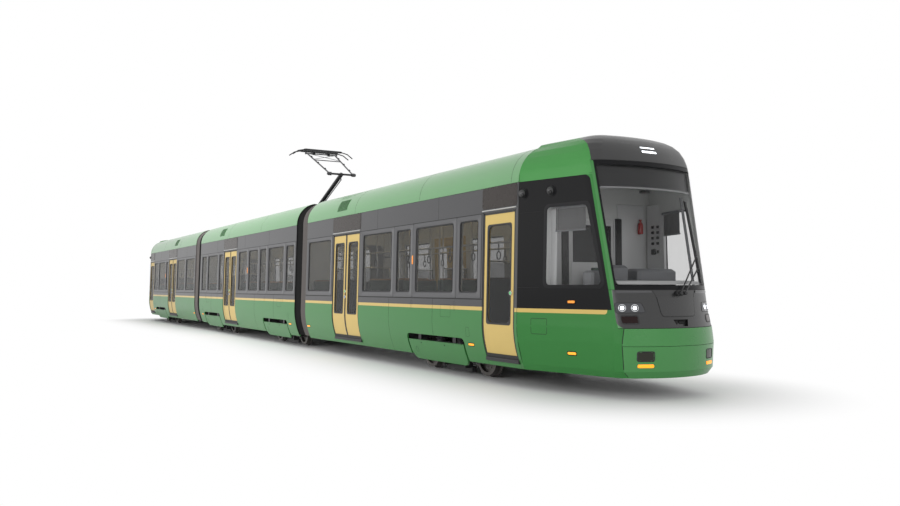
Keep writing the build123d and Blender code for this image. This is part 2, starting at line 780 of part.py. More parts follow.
def make_bogie(x):
    """Frame with cranked side beams, springs, track brakes, motors and centre pin."""
    reach = WHEELBASE / 2
    tip = reach + 155.0
    crank = reach - 165.0
    points = [(-tip, 235), (-tip, 420), (-620, 480), (620, 480), (tip, 420), (tip, 235), (crank, 235), (560, 330),
              (-560, 330), (-crank, 235)]
    beam = outline_y(points, BEAM_Y0, BEAM_Y1)
    for end in (-reach, reach):
        beam -= rod((end, 0, AXLE_Z), (end, WIDTH, AXLE_Z), AXLE_R + FIT)
    spring_y = (BEAM_Y0 + BEAM_Y1) / 2
    for end in (-350.0, 350.0):
        beam += post(end, spring_y, 470, BOX_TOP - BOX_SKIN - 6, 95.0)
        beam += block(end - 25, end + 25, 735, BEAM_Y0 + 20, 110, 400)
    beam += block(-430, 430, 705, 785, 45, 130)
    beam += rod((-480, 590, 300), (480, 590, 300), 110.0)
    frame = block(-160, 160, -BEAM_Y0 - 10, BEAM_Y0 + 10, 205, 385)
    for piece in pair(beam):
        frame += piece
    frame += post(0, 0, 300, BOGIE_PIN_TOP, BOGIE_PIN_R)
    return Pos(x, 0, 0) * frame


# Pantograph on the middle roof
def at(point, y):
    return (point[0], y, point[1])


def eye(point, y0, y1, outer, inner):
    ring = rod(at(point, y0), at(point, y1), outer)
    return ring - rod(at(point, y0 - 5), at(point, y1 + 5), inner)


def insulator(x, y, z):
    """Ribbed post that carries the pantograph base."""
    points = [(0, 0), (60, 0)]
    step = INSULATOR / 5
    for index in range(4):
        z0 = (index + 0.6) * step
        points += [(38, z0), (62, z0 + 0.25 * step), (62, z0 + 0.45 * step), (38, z0 + 0.7 * step)]
    points += [(45, INSULATOR), (0, INSULATOR)]
    face = make_face(Polyline(*points, close=True).edges())
    return Pos(x, y, z) * revolve(Plane.XZ * face, Axis.Z)


def collector_strip(x):
    """Contact strip with a horn bent down at each end."""
    tip = HEAD_Z - 4
    strip = block(x - 22, x + 22, -STRIP_HALF, STRIP_HALF, APEX[1] + 50, HEAD_Z + 16)
    for side in (-1, 1):
        bend = (x, side * 700, tip - 41)
        strip += rod((x, side * (STRIP_HALF - 10), tip), bend, HORN_R)
        strip += rod(bend, (x, side * 850, tip - 146), HORN_R) + Pos(*bend) * Sphere(HORN_R)
    return strip


def make_pantograph():
    x, z = PANTO
    low = SLAB_TOP + FIT
    deck = low + INSULATOR - 10
    deck_top = deck + BASE_TUBE
    y0 = PANTO_BASE_Y - 40
    y1 = PANTO_BASE_Y + 40
    base = block(x - 750, x + 750, y0, y1, deck, deck_top)
    base += flip(base)
    for x0 in (x - 60, x + 560):
        base += block(x0, x0 + 2 * BASE_TUBE, -y1, y1, deck, deck_top)
    for dx in (-PANTO_BASE_X, PANTO_BASE_X):
        for y in (-PANTO_BASE_Y, PANTO_BASE_Y):
            base += insulator(x + dx, y, low)
    bearing = block(x - 45, x + 45, 230, 300, deck, z) + rod((x, 230, z), (x, 300, z), 60)
    for piece in pair(bearing):
        base += piece
    base -= rod(at(PANTO, -PANTO_BASE_Y), at(PANTO, PANTO_BASE_Y), 30 + FIT)
    lower = rod(at(PANTO, -310), at(PANTO, 310), 30)
    lower += rod(at(PANTO, 0), at(KNEE, 0), ARM_R)
    lower += rod(at(KNEE, -370), at(KNEE, 370), 25)
    upper = eye(KNEE, 280, 360, 45, 25 + FIT)
    upper += rod((KNEE[0] - 36, 320, KNEE[1] + 18), at(APEX, 400), UPPER_R)
    upper += flip(upper)
    upper += rod(at(APEX, -440), at(APEX, 440), 16)
    brace = ((KNEE[0] + 2 * APEX[0]) / 3, (KNEE[1] + 2 * APEX[1]) / 3)
    upper += rod(at(brace, -373), at(brace, 373), 12)
    head = eye(APEX, 180, 240, 34, 16 + FIT)
    head += block(APEX[0] - STRIP_X - 20, APEX[0] + STRIP_X + 20, 190, 230, APEX[1] + 26, APEX[1] + 62)
    head += flip(head)
    for dx in (-STRIP_X, STRIP_X):
        head += collector_strip(APEX[0] + dx)
    return dict(pantograph_base=[base], pantograph_lower_arm=[lower], pantograph_upper_arm=[upper],
                pantograph_head=[head])


# Gangway bellows
def body_edges(inset):
    """Body outline from the bellows' foot over the cant to the roof edge."""
    marks = [roof_point(ROOF_R - inset, angle) for angle in (0.0, ROOF_SWEEP / 2, ROOF_SWEEP)]
    return side_edges(BELLOWS_LOW, CANT_Z, inset) + [ThreePointArc(*marks)], marks[-1]


def fold(x0, x1, inset):
    """One ring of the bellows, open below."""
    outer, top = body_edges(inset)
    inner, under = body_edges(FOLD_BACK)
    left = outer + inner
    low = [side_y(BELLOWS_LOW, depth) for depth in (inset, FOLD_BACK)]
    left.append(Line((low[0], BELLOWS_LOW), (low[1], BELLOWS_LOW)))
    edges = left + [edge.mirror(Plane.YZ) for edge in left]
    for y, z in (top, under):
        edges.append(Line((-y, z), (y, z)))
    return along(make_face(edges), x0, x1)


def make_bellows(side):
    start = min(side * MID_END, side * END_START) + FIT
    step = (GAP - 2 * FIT) / (2 * FOLDS - 1)
    rings = []
    for index in range(2 * FOLDS - 1):
        x = start + index * step
        rings.append(fold(x, x + step, FOLD_IN if index % 2 else FOLD_OUT))
    return [rings[0] + rings[1:]]


os.makedirs("parts", exist_ok=True)

sections = (front_section(), middle_section(), rear_section())
cab = make_cab()
cab_places = {"front": Pos(0, 0, 0), "rear": Pos(CAB_X - REAR_X, 0, 0) * Rot(0, 0, 180)}
for sec in sections:
    floor = add_couplings(sec, make_floor(sec))
    glass = make_glass(sec)
    seats = make_seats(sec)
    if sec.name in cab_places:
        place = cab_places[sec.name]
        floor += place * cab["floor"]
        glass += [place * piece for piece in cab["glass"]]
        seats.append(place * cab["chair"])
        for node in ("cab_shell", "cab_mask", "bumper", "lamps", "windscreen", "bulkhead", "desk", "wiper"):
            save(f"{sec.name}_{node}", [place * piece for piece in cab[node]])
    save(f"{sec.name}_underframe", [floor])
    save(f"{sec.name}_side_walls", make_walls(sec) + make_covers(sec))
    save(f"{sec.name}_roof", make_roof(sec))
    save(f"{sec.name}_windows", glass)
    save(f"{sec.name}_doors", make_doors(sec))
    save(f"{sec.name}_seats", seats)
    save(f"{sec.name}_roof_units", make_units(sec))
    save(f"{sec.name}_portals", make_portals(sec))

bogies = [x for sec in sections for x in sec.bogies]
for index, x in enumerate(bogies, start=1):
    save(f"bogie_{index}_frame", [make_bogie(x)])
    for mark, end in (("a", 1), ("b", -1)):
        save(f"bogie_{index}_wheelset_{mark}", [make_wheelset(x + end * WHEELBASE / 2)])

for node, pieces in make_pantograph().items():
    save(node, pieces)

save("front_bellows", make_bellows(1))
save("rear_bellows", make_bellows(-1))
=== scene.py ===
"""Looks of a three-section articulated tram, built round its fixed frame."""
from math import cos, exp, pi, radians, sin, sqrt, tan

import bmesh
import bpy
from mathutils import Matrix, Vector
from mathutils.bvhtree import BVHTree


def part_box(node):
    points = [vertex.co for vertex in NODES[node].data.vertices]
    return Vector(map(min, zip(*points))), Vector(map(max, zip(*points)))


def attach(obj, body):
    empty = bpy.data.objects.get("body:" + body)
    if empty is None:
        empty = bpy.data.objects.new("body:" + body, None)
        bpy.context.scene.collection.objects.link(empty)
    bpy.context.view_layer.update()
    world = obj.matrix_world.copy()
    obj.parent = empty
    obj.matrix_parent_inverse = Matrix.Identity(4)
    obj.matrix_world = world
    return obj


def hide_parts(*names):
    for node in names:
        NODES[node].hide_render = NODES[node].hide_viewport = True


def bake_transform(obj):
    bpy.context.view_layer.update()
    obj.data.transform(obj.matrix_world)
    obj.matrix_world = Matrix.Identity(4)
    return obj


bl_info = {
    "name": "Articulated Tram Looks",
    "version": (1, 0, 0),
    "blender": (4, 5, 0),
    "location": "View3D > Sidebar > Tram",
    "description": "Finishes, trim and stage for a three-section tram",
    "category": "Object",
}

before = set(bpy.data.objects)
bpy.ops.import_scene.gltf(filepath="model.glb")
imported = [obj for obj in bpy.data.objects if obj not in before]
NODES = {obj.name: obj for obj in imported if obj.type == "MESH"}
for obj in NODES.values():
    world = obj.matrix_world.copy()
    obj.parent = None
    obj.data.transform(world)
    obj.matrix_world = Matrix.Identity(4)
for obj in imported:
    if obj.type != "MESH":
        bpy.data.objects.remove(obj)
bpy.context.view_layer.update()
SECTIONS = ("front", "middle", "rear")
BODY = {name: f"{name}_section" for name in SECTIONS}

# Body side, in metres above the flange tips
HALF = 1.325
BELT_Z = 0.926
SKIRT_R = 1.5
CANT_Z = 2.99
CANT_HALF = 1.275
LEAN = (HALF - CANT_HALF) / (CANT_Z - BELT_Z)
OUTER_SKIN = 0.03
SILL_Z = 0.285
COVER_TOP = 0.55
ARCH_TOP = 0.652
ARCH_HALF = 0.85
STRIPE_LOW = 1.109
STRIPE_TOP = 1.166
WAIST_Z = 1.288
FRAME_LOW = 1.296
FRAME_TOP = 2.590
GLASS_LOW = 1.381
GLASS_TOP = 2.516
FRAME_EDGE = 0.1
GLASS_IN = 0.012
FLOOR_Z = 0.47
MARGIN = 0.004
FAR = 30.0

# Roof
ROOF_R = 0.55
ROOF_HUB = CANT_HALF - ROOF_R
ROOF_SWEEP = radians(80.0)
FAIRING_WALL = 0.012
SLAB_TOP = 3.04
UNIT_TOP = 3.4603
UNIT_HALF = 0.7

# Places along the tram
MID_END = 4.9
END_START = 5.66
CAB_X = 14.36
NOSE = 16.32
SPANS = {"front": (END_START, CAB_X), "middle": (-MID_END, MID_END), "rear": (-CAB_X, -END_START)}

# Bogies as X, and their wheelsets
END_BOGIE = 11.85
MID_BOGIE = 3.27
BOGIES = {"front": (END_BOGIE,), "middle": (MID_BOGIE, -MID_BOGIE), "rear": (-END_BOGIE,)}
AXLE_REACH = 0.925
AXLE_Z = 0.326

# Doors as centre and width, window frames as X limits
SINGLE_DOOR = 0.876
DOUBLE_DOOR = 1.42
DOOR_TOP = 2.598
STEP_Z = 0.417
DOORS = {
    "front": ((13.863, SINGLE_DOOR), (8.025, DOUBLE_DOOR)),
    "middle": ((-1.076, DOUBLE_DOOR),),
    "rear": ((-9.56, DOUBLE_DOOR), (-13.863, SINGLE_DOOR)),
}
FRAMES = {
    "front": ((12.627, 13.38), (11.1, 12.619), (10.335, 11.092), (8.815, 10.327), (5.7, 7.262)),
    "middle": ((4.082, 4.86), (2.642, 4.074), (1.896, 2.634), (0.835, 1.888), (-0.182, 0.827),
               (-2.458, -1.84), (-3.893, -2.466), (-4.72, -3.901)),
    "rear": ((-7.241, -5.7), (-8.757, -7.249), (-10.88, -10.35), (-12.349, -10.888), (-13.33, -12.357)),
}
DARK_EDGES = (11.1, 2.642, -7.241)

# Cant panel seams, roof seams, roof vents, reflectors and markers as X, roof cases as X limits
CANT_SEAMS = {"front": (9.57, 12.004), "middle": (-2.656, 0.483, 2.752), "rear": (-7.097, -11.937)}
ROOF_SEAMS = {"front": (8.45, 11.3, 14.17), "middle": (-1.36, 1.97), "rear": (-8.3, -11.3, -14.17)}
VENTS = {"front": (7.72,), "middle": (-2.18,), "rear": (-9.1,)}
REFLECTORS = {"front": (11.096,), "middle": (0.831,), "rear": (-10.884,)}
MARKERS = {"front": (5.8, 13.06), "middle": (4.49, -4.49), "rear": (-5.8, -13.06)}
UNITS = {
    "front": ((6.1, 8.3), (9.1, 12.7)),
    "middle": ((-4.3, -2.5), (-2.2, 0.7)),
    "rear": ((-8.3, -6.1), (-12.7, -9.1)),
}

# Cab
PANEL_TOP = 2.985
PILLAR_X = 15.816
PILLAR_Z = 1.468
PILLAR_RAKE = 0.194
SIDE_WINDOW = ((14.83, 1.475), (15.755, 1.475), (15.512, 2.6), (14.83, 2.6))
SIDE_OPENING = ((14.852, 1.497), (15.725, 1.497), (15.491, 2.578), (14.852, 2.578))
SCREEN_LOW = 1.43
SCREEN_TOP = 3.18
MASK_LOW = 0.932
MASK_HALF = 0.849
DISPLAY_LOW = 2.82

# Seats as X of the back and way that the passenger faces
SEAT_RISE = 0.35
BOX_TOP = 0.8
SEAT_Y = (0.49, 1.16)
FLOOR_SEATS = {
    "front": ((5.82, 1), (7.142, -1), (8.935, 1), (10.207, -1)),
    "middle": ((-0.062, 1), (1.768, -1)),
    "rear": ((-8.637, 1), (-7.369, -1), (-7.121, 1), (-5.82, -1)),
}
BOX_SEATS = ((-1.37, 1), (-0.07, -1), (0.07, 1), (1.37, -1))

# Pantograph pivots as X and Z
PANTO = (2.61, 3.5)
KNEE = (4.624, 4.357)
APEX = (3.19, 5.07)

# Axes
ALONG = Vector((1, 0, 0))
ACROSS = Vector((0, 1, 0))
UP = Vector((0, 0, 1))


# Mesh helpers
def side_y(z):
    """Half-width of the body side at height z."""
    if z < BELT_Z:
        return HALF - SKIRT_R + sqrt(SKIRT_R ** 2 - (BELT_Z - z) ** 2)
    return HALF - LEAN * (z - BELT_Z)


def on_wall(x, z, out=0.0):
    """Point on the left body side, moved out."""
    return (x, side_y(z) + out, z)


def on_roof(x, angle, out=0.0):
    """Point on the left roof fairing, by its angle above the cant."""
    return (x, ROOF_HUB + (ROOF_R + out) * cos(angle), CANT_Z + (ROOF_R + out) * sin(angle))


def marks(low, high, count):
    """Evenly spaced values from low to high."""
    return [low + (high - low) * k / (count - 1) for k in range(count)]


def circle(radius, count, height=0.0):
    """Points round the Z axis."""
    angles = [2 * pi * k / count for k in range(count)]
    return [Vector((radius * cos(a), radius * sin(a), height)) for a in angles]


def aside(path, shift, closed):
    """Flat path moved to its left by shift."""
    count = len(path)
    moved = []
    for i, here in enumerate(path):
        before = path[i - 1] if closed or i else here
        after = path[(i + 1) % count] if closed or i < count - 1 else here
        du = after[0] - before[0]
        dv = after[1] - before[1]
        size = sqrt(du * du + dv * dv)
        moved.append((here[0] - dv / size * shift, here[1] + du / size * shift))
    return moved


def cut(a, b, count):
    """Points that cut the run from a to b into count parts, without b."""
    return [(a[0] + (b[0] - a[0]) * k / count, a[1] + (b[1] - a[1]) * k / count) for k in range(count)]


def spread(points, step=0.05, closed=False):
    """Path with extra points on its long runs."""
    spots = []
    ends = points + points[:1] if closed else points
    for a, b in zip(ends, ends[1:]):
        length = sqrt((b[0] - a[0]) ** 2 + (b[1] - a[1]) ** 2)
        spots += cut(a, b, max(1, int(length / step)))
    return spots if closed else spots + [points[-1]]


def divided(points, count):
    """Closed path with each run cut into count parts."""
    return [spot for a, b in zip(points, points[1:] + points[:1]) for spot in cut(a, b, count)]


def rounded(x0, x1, z0, z1, radius, steps=6):
    """Outline of a rectangle with round corners."""
    spots = []
    for cx, cz, start in ((x1 - radius, z1 - radius, 0), (x0 + radius, z1 - radius, 90),
                          (x0 + radius, z0 + radius, 180), (x1 - radius, z0 + radius, 270)):
        for k in range(steps + 1):
            a = radians(start + 90.0 * k / steps)
            spots.append((cx + radius * cos(a), cz + radius * sin(a)))
    return spots


def round_corners(points, radius, steps=6):
    """Closed outline with each corner turned into an arc."""
    spots = []
    for i, point in enumerate(points):
        corner = Vector(point)
        a = (Vector(points[i - 1]) - corner).normalized()
        b = (Vector(points[(i + 1) % len(points)]) - corner).normalized()
        half = a.angle(b) / 2
        centre = corner + (a + b).normalized() * radius / sin(half)
        start = corner + a * radius / tan(half) - centre
        end = corner + b * radius / tan(half) - centre
        for k in range(steps + 1):
            spots.append(tuple(centre + start.slerp(end, k / steps).normalized() * radius))
    return spots


class Shape:
    """Vertices and faces gathered for one piece."""

    def __init__(self):
        self.points = []
        self.faces = []

    def add(self, points, faces):
        start = len(self.points)
        self.points += [tuple(p) for p in points]
        self.faces += [tuple(start + i for i in face) for face in faces]

    def loops(self, rings, closed=True, caps=False):
        """Skin over rings with the same number of points."""
        count = len(rings[0])
        points = [p for ring in rings for p in ring]
        faces = []
        for r in range(len(rings) - 1):
            for i in range(count if closed else count - 1):
                j = (i + 1) % count
                faces.append((r * count + i, r * count + j, (r + 1) * count + j, (r + 1) * count + i))
        if caps:
            faces.append(tuple(reversed(range(count))))
            faces.append(tuple((len(rings) - 1) * count + i for i in range(count)))
        self.add(points, faces)

    def sheet(self, rows):
        """Open skin over rows of points."""
        self.loops(rows, closed=False)

    def box(self, low, high, bevel=0.006):
        """Box with all its edges chamfered."""
        rings = []
        for inset, z in ((bevel, low[2]), (0.0, low[2] + bevel), (0.0, high[2] - bevel), (bevel, high[2])):
            x0 = low[0] + inset
            y0 = low[1] + inset
            x1 = high[0] - inset
            y1 = high[1] - inset
            corners = ((x0 + bevel, y0), (x1 - bevel, y0), (x1, y0 + bevel), (x1, y1 - bevel),
                       (x1 - bevel, y1), (x0 + bevel, y1), (x0, y1 - bevel), (x0, y0 + bevel))
            rings.append([(x, y, z) for x, y in corners])
        self.loops(rings, caps=True)

    def tube(self, path, radius, sides=10):
        """Round bar along a path of points."""
        spots = [Vector(p) for p in path]
        rings = []
        for i, spot in enumerate(spots):
            ahead = spots[min(i + 1, len(spots) - 1)] - spots[max(i - 1, 0)]
            turn = ahead.to_track_quat("Z", "Y").to_matrix()
            rings.append([spot + turn @ p for p in circle(radius, sides)])
        self.loops(rings, caps=True)

    def lathe(self, profile, centre, axis, sides=28):
        """Turned form from radius and height pairs, along axis."""
        turn = Vector(axis).to_track_quat("Z", "Y").to_matrix()
        foot = Vector(centre)
        self.loops([[foot + turn @ p for p in circle(r, sides, h)] for r, h in profile], caps=True)

    def button(self, centre, axis, radius, depth, sides=28):
        """Round button with a soft edge whose face looks along axis."""
        edge = min(radius, depth) * 0.35
        self.lathe(((radius, -depth), (radius, depth - edge), (radius - edge * 0.3, depth - edge * 0.3),
                    (radius - edge, depth)), centre, axis, sides)

    def bolt(self, centre, axis, radius):
        """Hexagon head on a washer."""
        self.lathe(((radius * 1.5, -radius), (radius * 1.5, radius * 0.25)), centre, axis, 16)
        self.lathe(((radius, 0.0), (radius, radius * 0.8), (radius * 0.8, radius)), centre, axis, 6)

    def coil(self, low, high, radius, wire, turns, sides=8):
        """Coil spring between two points."""
        a = Vector(low)
        line = Vector(high) - a
        turn = line.to_track_quat("Z", "Y").to_matrix()
        count = int(turns * 18)
        path = []
        for k in range(count + 1):
            angle = 2 * pi * turns * k / count
            spot = Vector((radius * cos(angle), radius * sin(angle), line.length * k / count))
            path.append(a + turn @ spot)
        self.tube(path, wire, sides)

    def stroke(self, path, width, place, height=0.001, closed=False, base=-0.001):
        """Raised band along a flat path, laid on a surface by place(u, v, out)."""
        lip = min(width / 3, height)
        edge = width / 2
        rows = ((-edge, base), (-edge, height - lip), (-edge + lip, height),
                (edge - lip, height), (edge, height - lip), (edge, base))
        rings = []
        for shift, out in rows:
            rings.append([place(u, v, out) for u, v in aside(path, shift, closed)])
        self.loops(rings, closed=closed)

    def pad(self, outline, place, height, edge=0.004, base=-0.002):
        """Raised plate with a soft rim on a surface; the outline runs anticlockwise."""
        half = aside(outline, edge * 0.3, True)
        inner = aside(outline, edge, True)
        rings = [[place(u, v, out) for u, v in line] for line, out in
                 ((outline, base), (outline, height - edge), (half, height - edge * 0.3), (inner, height))]
        self.loops(rings)
        self.add(rings[-1], [tuple(range(len(inner)))])

    def mirrored(self):
        """Adds the same shape on the other side of the tram."""
        count = len(self.points)
        faces = list(self.faces)
        self.points += [(x, -y, z) for x, y, z in self.points]
        self.faces += [tuple(count + i for i in reversed(face)) for face in faces]

    def turned(self):
        """Copy of the shape at the other end of the tram."""
        other = Shape()
        other.add([(-x, -y, z) for x, y, z in self.points], self.faces)
        return other


def shapes(count):
    """Empty shapes for several pieces."""
    return [Shape() for _ in range(count)]


class Skin:
    """Outside of the front cab, found by rays."""

    def __init__(self, *names):
        points = []
        faces = []
        for name in names:
            mesh = NODES[name].data
            start = len(points)
            points += [v.co.copy() for v in mesh.vertices]
            faces += [[start + i for i in face.vertices] for face in mesh.polygons]
        self.tree = BVHTree.FromPolygons(points, faces)

    def hit(self, start, way):
        spot = self.tree.ray_cast(Vector(start), Vector(way))[0]
        if spot is None:
            raise ValueError(f"no cab surface at {start}")
        return spot

    def front(self, y, z, out=0.0):
        """Point on the cab front, moved forward."""
        return (self.hit((FAR, y, z), (-1, 0, 0)).x + out, y, z)

    def side(self, x, z, out=0.0):
        """Point on the left cab side, moved out."""
        return (x, self.hit((x, FAR, z), (0, -1, 0)).y + out, z)

    def normal(self, y, z, step=0.02):
        """Way that the cab front faces at a point."""
        across = Vector(self.front(y + step, z)) - Vector(self.front(y - step, z))
        up = Vector(self.front(y, z + step)) - Vector(self.front(y, z - step))
        return across.cross(up).normalized()


def build(name, shape, look, body, angle=35.0):
    """Object from a shape, riding on a body."""
    mesh = bpy.data.meshes.new(name)
    mesh.from_pydata(shape.points, [], shape.faces)
    edit = bmesh.new()
    edit.from_mesh(mesh)
    bmesh.ops.recalc_face_normals(edit, faces=edit.faces)
    edit.to_mesh(mesh)
    edit.free()
    piece = finished(name, mesh, look, angle)
    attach(piece, body)
    return piece


def finished(name, mesh, look, angle):
    """Object from a mesh, with a finish and smooth shading."""
    mesh.materials.append(look)
    for face in mesh.polygons:
        face.use_smooth = True
    mesh.set_sharp_from_angle(angle=radians(angle))
    piece = bpy.data.objects.new(name, mesh)
    bpy.context.scene.collection.objects.link(piece)
    return piece


def build_sides(section, rows):
    """Pieces on both sides of a section, as label, shape, finish and slot."""
    for label, shape, look, slot in rows:
        shape.mirrored()
        build(f"{section}_{label}", shape, look, BODY[section])


def build_ends(label, shape, look, slot, both_sides=False):
    """Same piece on both cabs."""
    if both_sides:
        shape.mirrored()
    build(f"front_{label}", shape, look, BODY["front"])
    build(f"rear_{label}", shape.turned(), look, BODY["rear"])


# Shader helpers
GROUPS = {}
FINISHES = {}
COAT_ROUGHNESS = 0.05
BUMP_DEPTH = 0.002


class Field:
    """Value or colour that changes over a surface, worked out by shader nodes."""

    def __init__(self, tree, socket):
        self.tree = tree
        self.socket = socket

    def math(self, kind, *others):
        return math_node(self.tree, kind, self, *others)

    def __add__(self, other):
        return self.math("ADD", other)

    def __sub__(self, other):
        return self.math("SUBTRACT", other)

    def __rsub__(self, other):
        return math_node(self.tree, "SUBTRACT", other, self)

    def __mul__(self, other):
        return self.math("MULTIPLY", other)

    def __gt__(self, other):
        return self.math("GREATER_THAN", other)

    def __lt__(self, other):
        return self.math("LESS_THAN", other)

    def __abs__(self):
        return self.math("ABSOLUTE")

    def at_least(self, other):
        return self.math("MAXIMUM", other)

    def at_most(self, other):
        return self.math("MINIMUM", other)

    def mix(self, first, second):
        """Colour that is first where this mask is 0 and second where it is 1."""
        node = self.tree.nodes.new("ShaderNodeMix")
        node.data_type = "RGBA"
        for index, value in ((0, self), (6, first), (7, second)):
            value.feed(node.inputs[index])
        return Field(self.tree, node.outputs[2])

    def feed(self, socket):
        self.tree.links.new(self.socket, socket)


def math_node(tree, kind, *values):
    """Field from one math node over fields and numbers."""
    node = tree.nodes.new("ShaderNodeMath")
    node.operation = kind
    for value, socket in zip(values, node.inputs):
        if isinstance(value, Field):
            value.feed(socket)
        else:
            socket.default_value = value
    return Field(tree, node.outputs[0])


def place_axes(tree, kind="Object"):
    """X, Y and Z of the place, or of the way that the surface faces."""
    place = tree.nodes.new("ShaderNodeTexCoord")
    axes = tree.nodes.new("ShaderNodeSeparateXYZ")
    tree.links.new(place.outputs[kind], axes.inputs[0])
    return [Field(tree, axis) for axis in axes.outputs]


def group(name, inputs, outputs):
    """Empty shader node group with named sockets, its inputs as fields and its output node."""
    tree = bpy.data.node_groups.new(name, "ShaderNodeTree")
    for way, sockets in (("INPUT", inputs), ("OUTPUT", outputs)):
        for label, kind in sockets.items():
            tree.interface.new_socket(label, in_out=way, socket_type=f"NodeSocket{kind}")
    given = tree.nodes.new("NodeGroupInput")
    fields = {label: Field(tree, given.outputs[label]) for label in inputs}
    GROUPS[name] = tree
    return tree, fields, tree.nodes.new("NodeGroupOutput")


def texture(tree, kind, vector, scale):
    """Texture node laid by a vector, at a scale."""
    node = tree.nodes.new(f"ShaderNodeTex{kind}")
    tree.links.new(vector, node.inputs["Vector"])
    scale.feed(node.inputs["Scale"])
    return node


def grain_pattern(tree, vector, scale):
    """Soft cloudy grain."""
    node = texture(tree, "Noise", vector, scale)
    node.inputs["Detail"].default_value = 4.0
    return Field(tree, node.outputs["Fac"])


def brushed_pattern(tree, vector, scale):
    """Fine lines along X."""
    node = tree.nodes.new("ShaderNodeVectorMath")
    node.operation = "MULTIPLY"
    node.inputs[1].default_value = (0.02, 1.0, 1.0)
    tree.links.new(vector, node.inputs[0])
    return grain_pattern(tree, node.outputs[0], scale)


def weave_pattern(tree, vector, scale):
    """Crossing threads of a cloth."""
    threads = []
    for axis in ("X", "Z"):
        wave = texture(tree, "Wave", vector, scale)
        wave.bands_direction = axis
        wave.inputs["Distortion"].default_value = 1.2
        threads.append(Field(tree, wave.outputs["Fac"]))
    return threads[0].at_least(threads[1])


def speckle_pattern(tree, vector, scale):
    """Small chips scattered in a floor covering."""
    cells = texture(tree, "Voronoi", vector, scale)
    return Field(tree, cells.outputs["Distance"]) * 1.4


PATTERNS = {
    "Grain": grain_pattern,
    "Brushed": brushed_pattern,
    "Weave": weave_pattern,
    "Speckle": speckle_pattern,
}


def pattern_group(kind):
    """Group that varies tone, roughness and height by one pattern."""
    name = f"{kind} pattern"
    if name in GROUPS:
        return GROUPS[name]
    inputs = {"Colour": "Color", "Scale": "Float", "Tone": "Float", "Roughness": "Float"}
    tree, given, out = group(name, inputs, {"Colour": "Color", "Roughness": "Float", "Height": "Float"})
    place = tree.nodes.new("ShaderNodeTexCoord")
    height = PATTERNS[kind](tree, place.outputs["Object"], given["Scale"])
    swing = (height - 0.5) * given["Tone"]
    tint = tree.nodes.new("ShaderNodeVectorMath")
    tint.operation = "SCALE"
    given["Colour"].feed(tint.inputs[0])
    (swing * 2.0 + 1.0).feed(tint.inputs["Scale"])
    tree.links.new(tint.outputs[0], out.inputs["Colour"])
    (given["Roughness"] + swing).feed(out.inputs["Roughness"])
    height.feed(out.inputs["Height"])
    return tree


def side_colours(hue, x, y, z):
    """Skirt, stripe and window band outside, lining inside, with painted shade inside below the belt and in
    the gap over each bogie cover.
    """
    colour = (z > STRIPE_LOW).mix(hue["Skirt"], hue["Stripe"])
    colour = (z > STRIPE_TOP).mix(colour, hue["Band"])
    width = abs(y) + (z - BELT_Z).at_least(0.0) * LEAN
    drop = (BELT_Z - z).at_least(0.0)
    curve = SKIRT_R - (SKIRT_R ** 2 - drop * drop).math("SQRT")
    outside = width + curve > HALF - OUTER_SKIN
    # Faces in the gap over each bogie cover count as inside, so they take the painted shade below
    gap = (z > COVER_TOP + MARGIN) * (z < ARCH_TOP - MARGIN)
    to_bogie = abs(abs(x) - END_BOGIE).at_most(abs(abs(x) - MID_BOGIE))
    gap = gap * (to_bogie < ARCH_HALF)
    outside = outside * (1.0 - gap)
    # Inside below the belt is near-black painted shade, above it the lining
    inside = (z > BELT_Z).mix(hue["Shade"], hue["Lining"])
    return outside.mix(inside, colour)


def roof_colours(hue, x, y, z):
    """Painted fairings, a grey deck between them and a pale ceiling."""
    flat = abs(y) - ROOF_HUB
    tall = z - CANT_Z
    inside = flat * flat + tall * tall < (ROOF_R - FAIRING_WALL) ** 2
    inside = inside.at_least(abs(y) < ROOF_HUB)
    hidden = (z > CANT_Z + 0.01).mix(hue["Ceiling"], hue["Deck"])
    return inside.mix(hue["Fairing"], hidden)


def in_corner(reach, depth, radius):
    """Mask of what is behind two edges that meet in a round corner."""
    a = (radius - reach).at_least(0.0)
    b = (radius - depth).at_least(0.0)
    return a * a + b * b < radius ** 2


def cab_colours(hue, x, y, z):
    """Green cab with the stripe and a dark side panel behind the pillar, lining inside."""
    stripe_end = 0.04
    panel_corner = 0.07
    heart = (15.0, 1.9)
    behind = PILLAR_X - abs(x)
    stripe = (z > STRIPE_LOW) * (z < STRIPE_TOP) * in_corner(behind, z - STRIPE_LOW, stripe_end)
    colour = stripe.mix(hue["Skirt"], hue["Stripe"])
    behind = behind - (z - PILLAR_Z) * PILLAR_RAKE
    panel = in_corner(behind, PANEL_TOP - z, panel_corner) * (z > STRIPE_TOP)
    colour = panel.mix(colour, hue["Band"])
    colour = (z > PANEL_TOP).mix(colour, hue["Roof"])
    facing = place_axes(x.tree, "Normal")
    out = (abs(x) - heart[0]) * (x.math("SIGN") * facing[0]) + y * facing[1]
    outside = out + (z - heart[1]) * facing[2] > 0.0
    return outside.mix(hue["Lining"], colour)


def mask_colours(hue, x, y, z):
    """Black mask whose two lower corners are rounded off in the body colour."""
    corner = 0.075
    inside = in_corner(MASK_HALF - abs(y), z - MASK_LOW, corner)
    inside = inside.at_least(z > SCREEN_LOW)
    return inside.mix(hue["Corner"], hue["Mask"])


def lamp_colours(hue, x, y, z):
    """Amber bar, marker, tail lamp and white lamps from the bumper up."""
    colour = hue["Amber"]
    for height, label in ((0.5, "Marker"), (0.8, "Tail"), (1.11, "White")):
        colour = (z > height).mix(colour, hue[label])
    return colour


def deck_colours(hue, x, y, z):
    """Floor covering on the top face, dark metal below."""
    return (z > FLOOR_Z - MARGIN).mix(hue["Frame"], hue["Floor"])


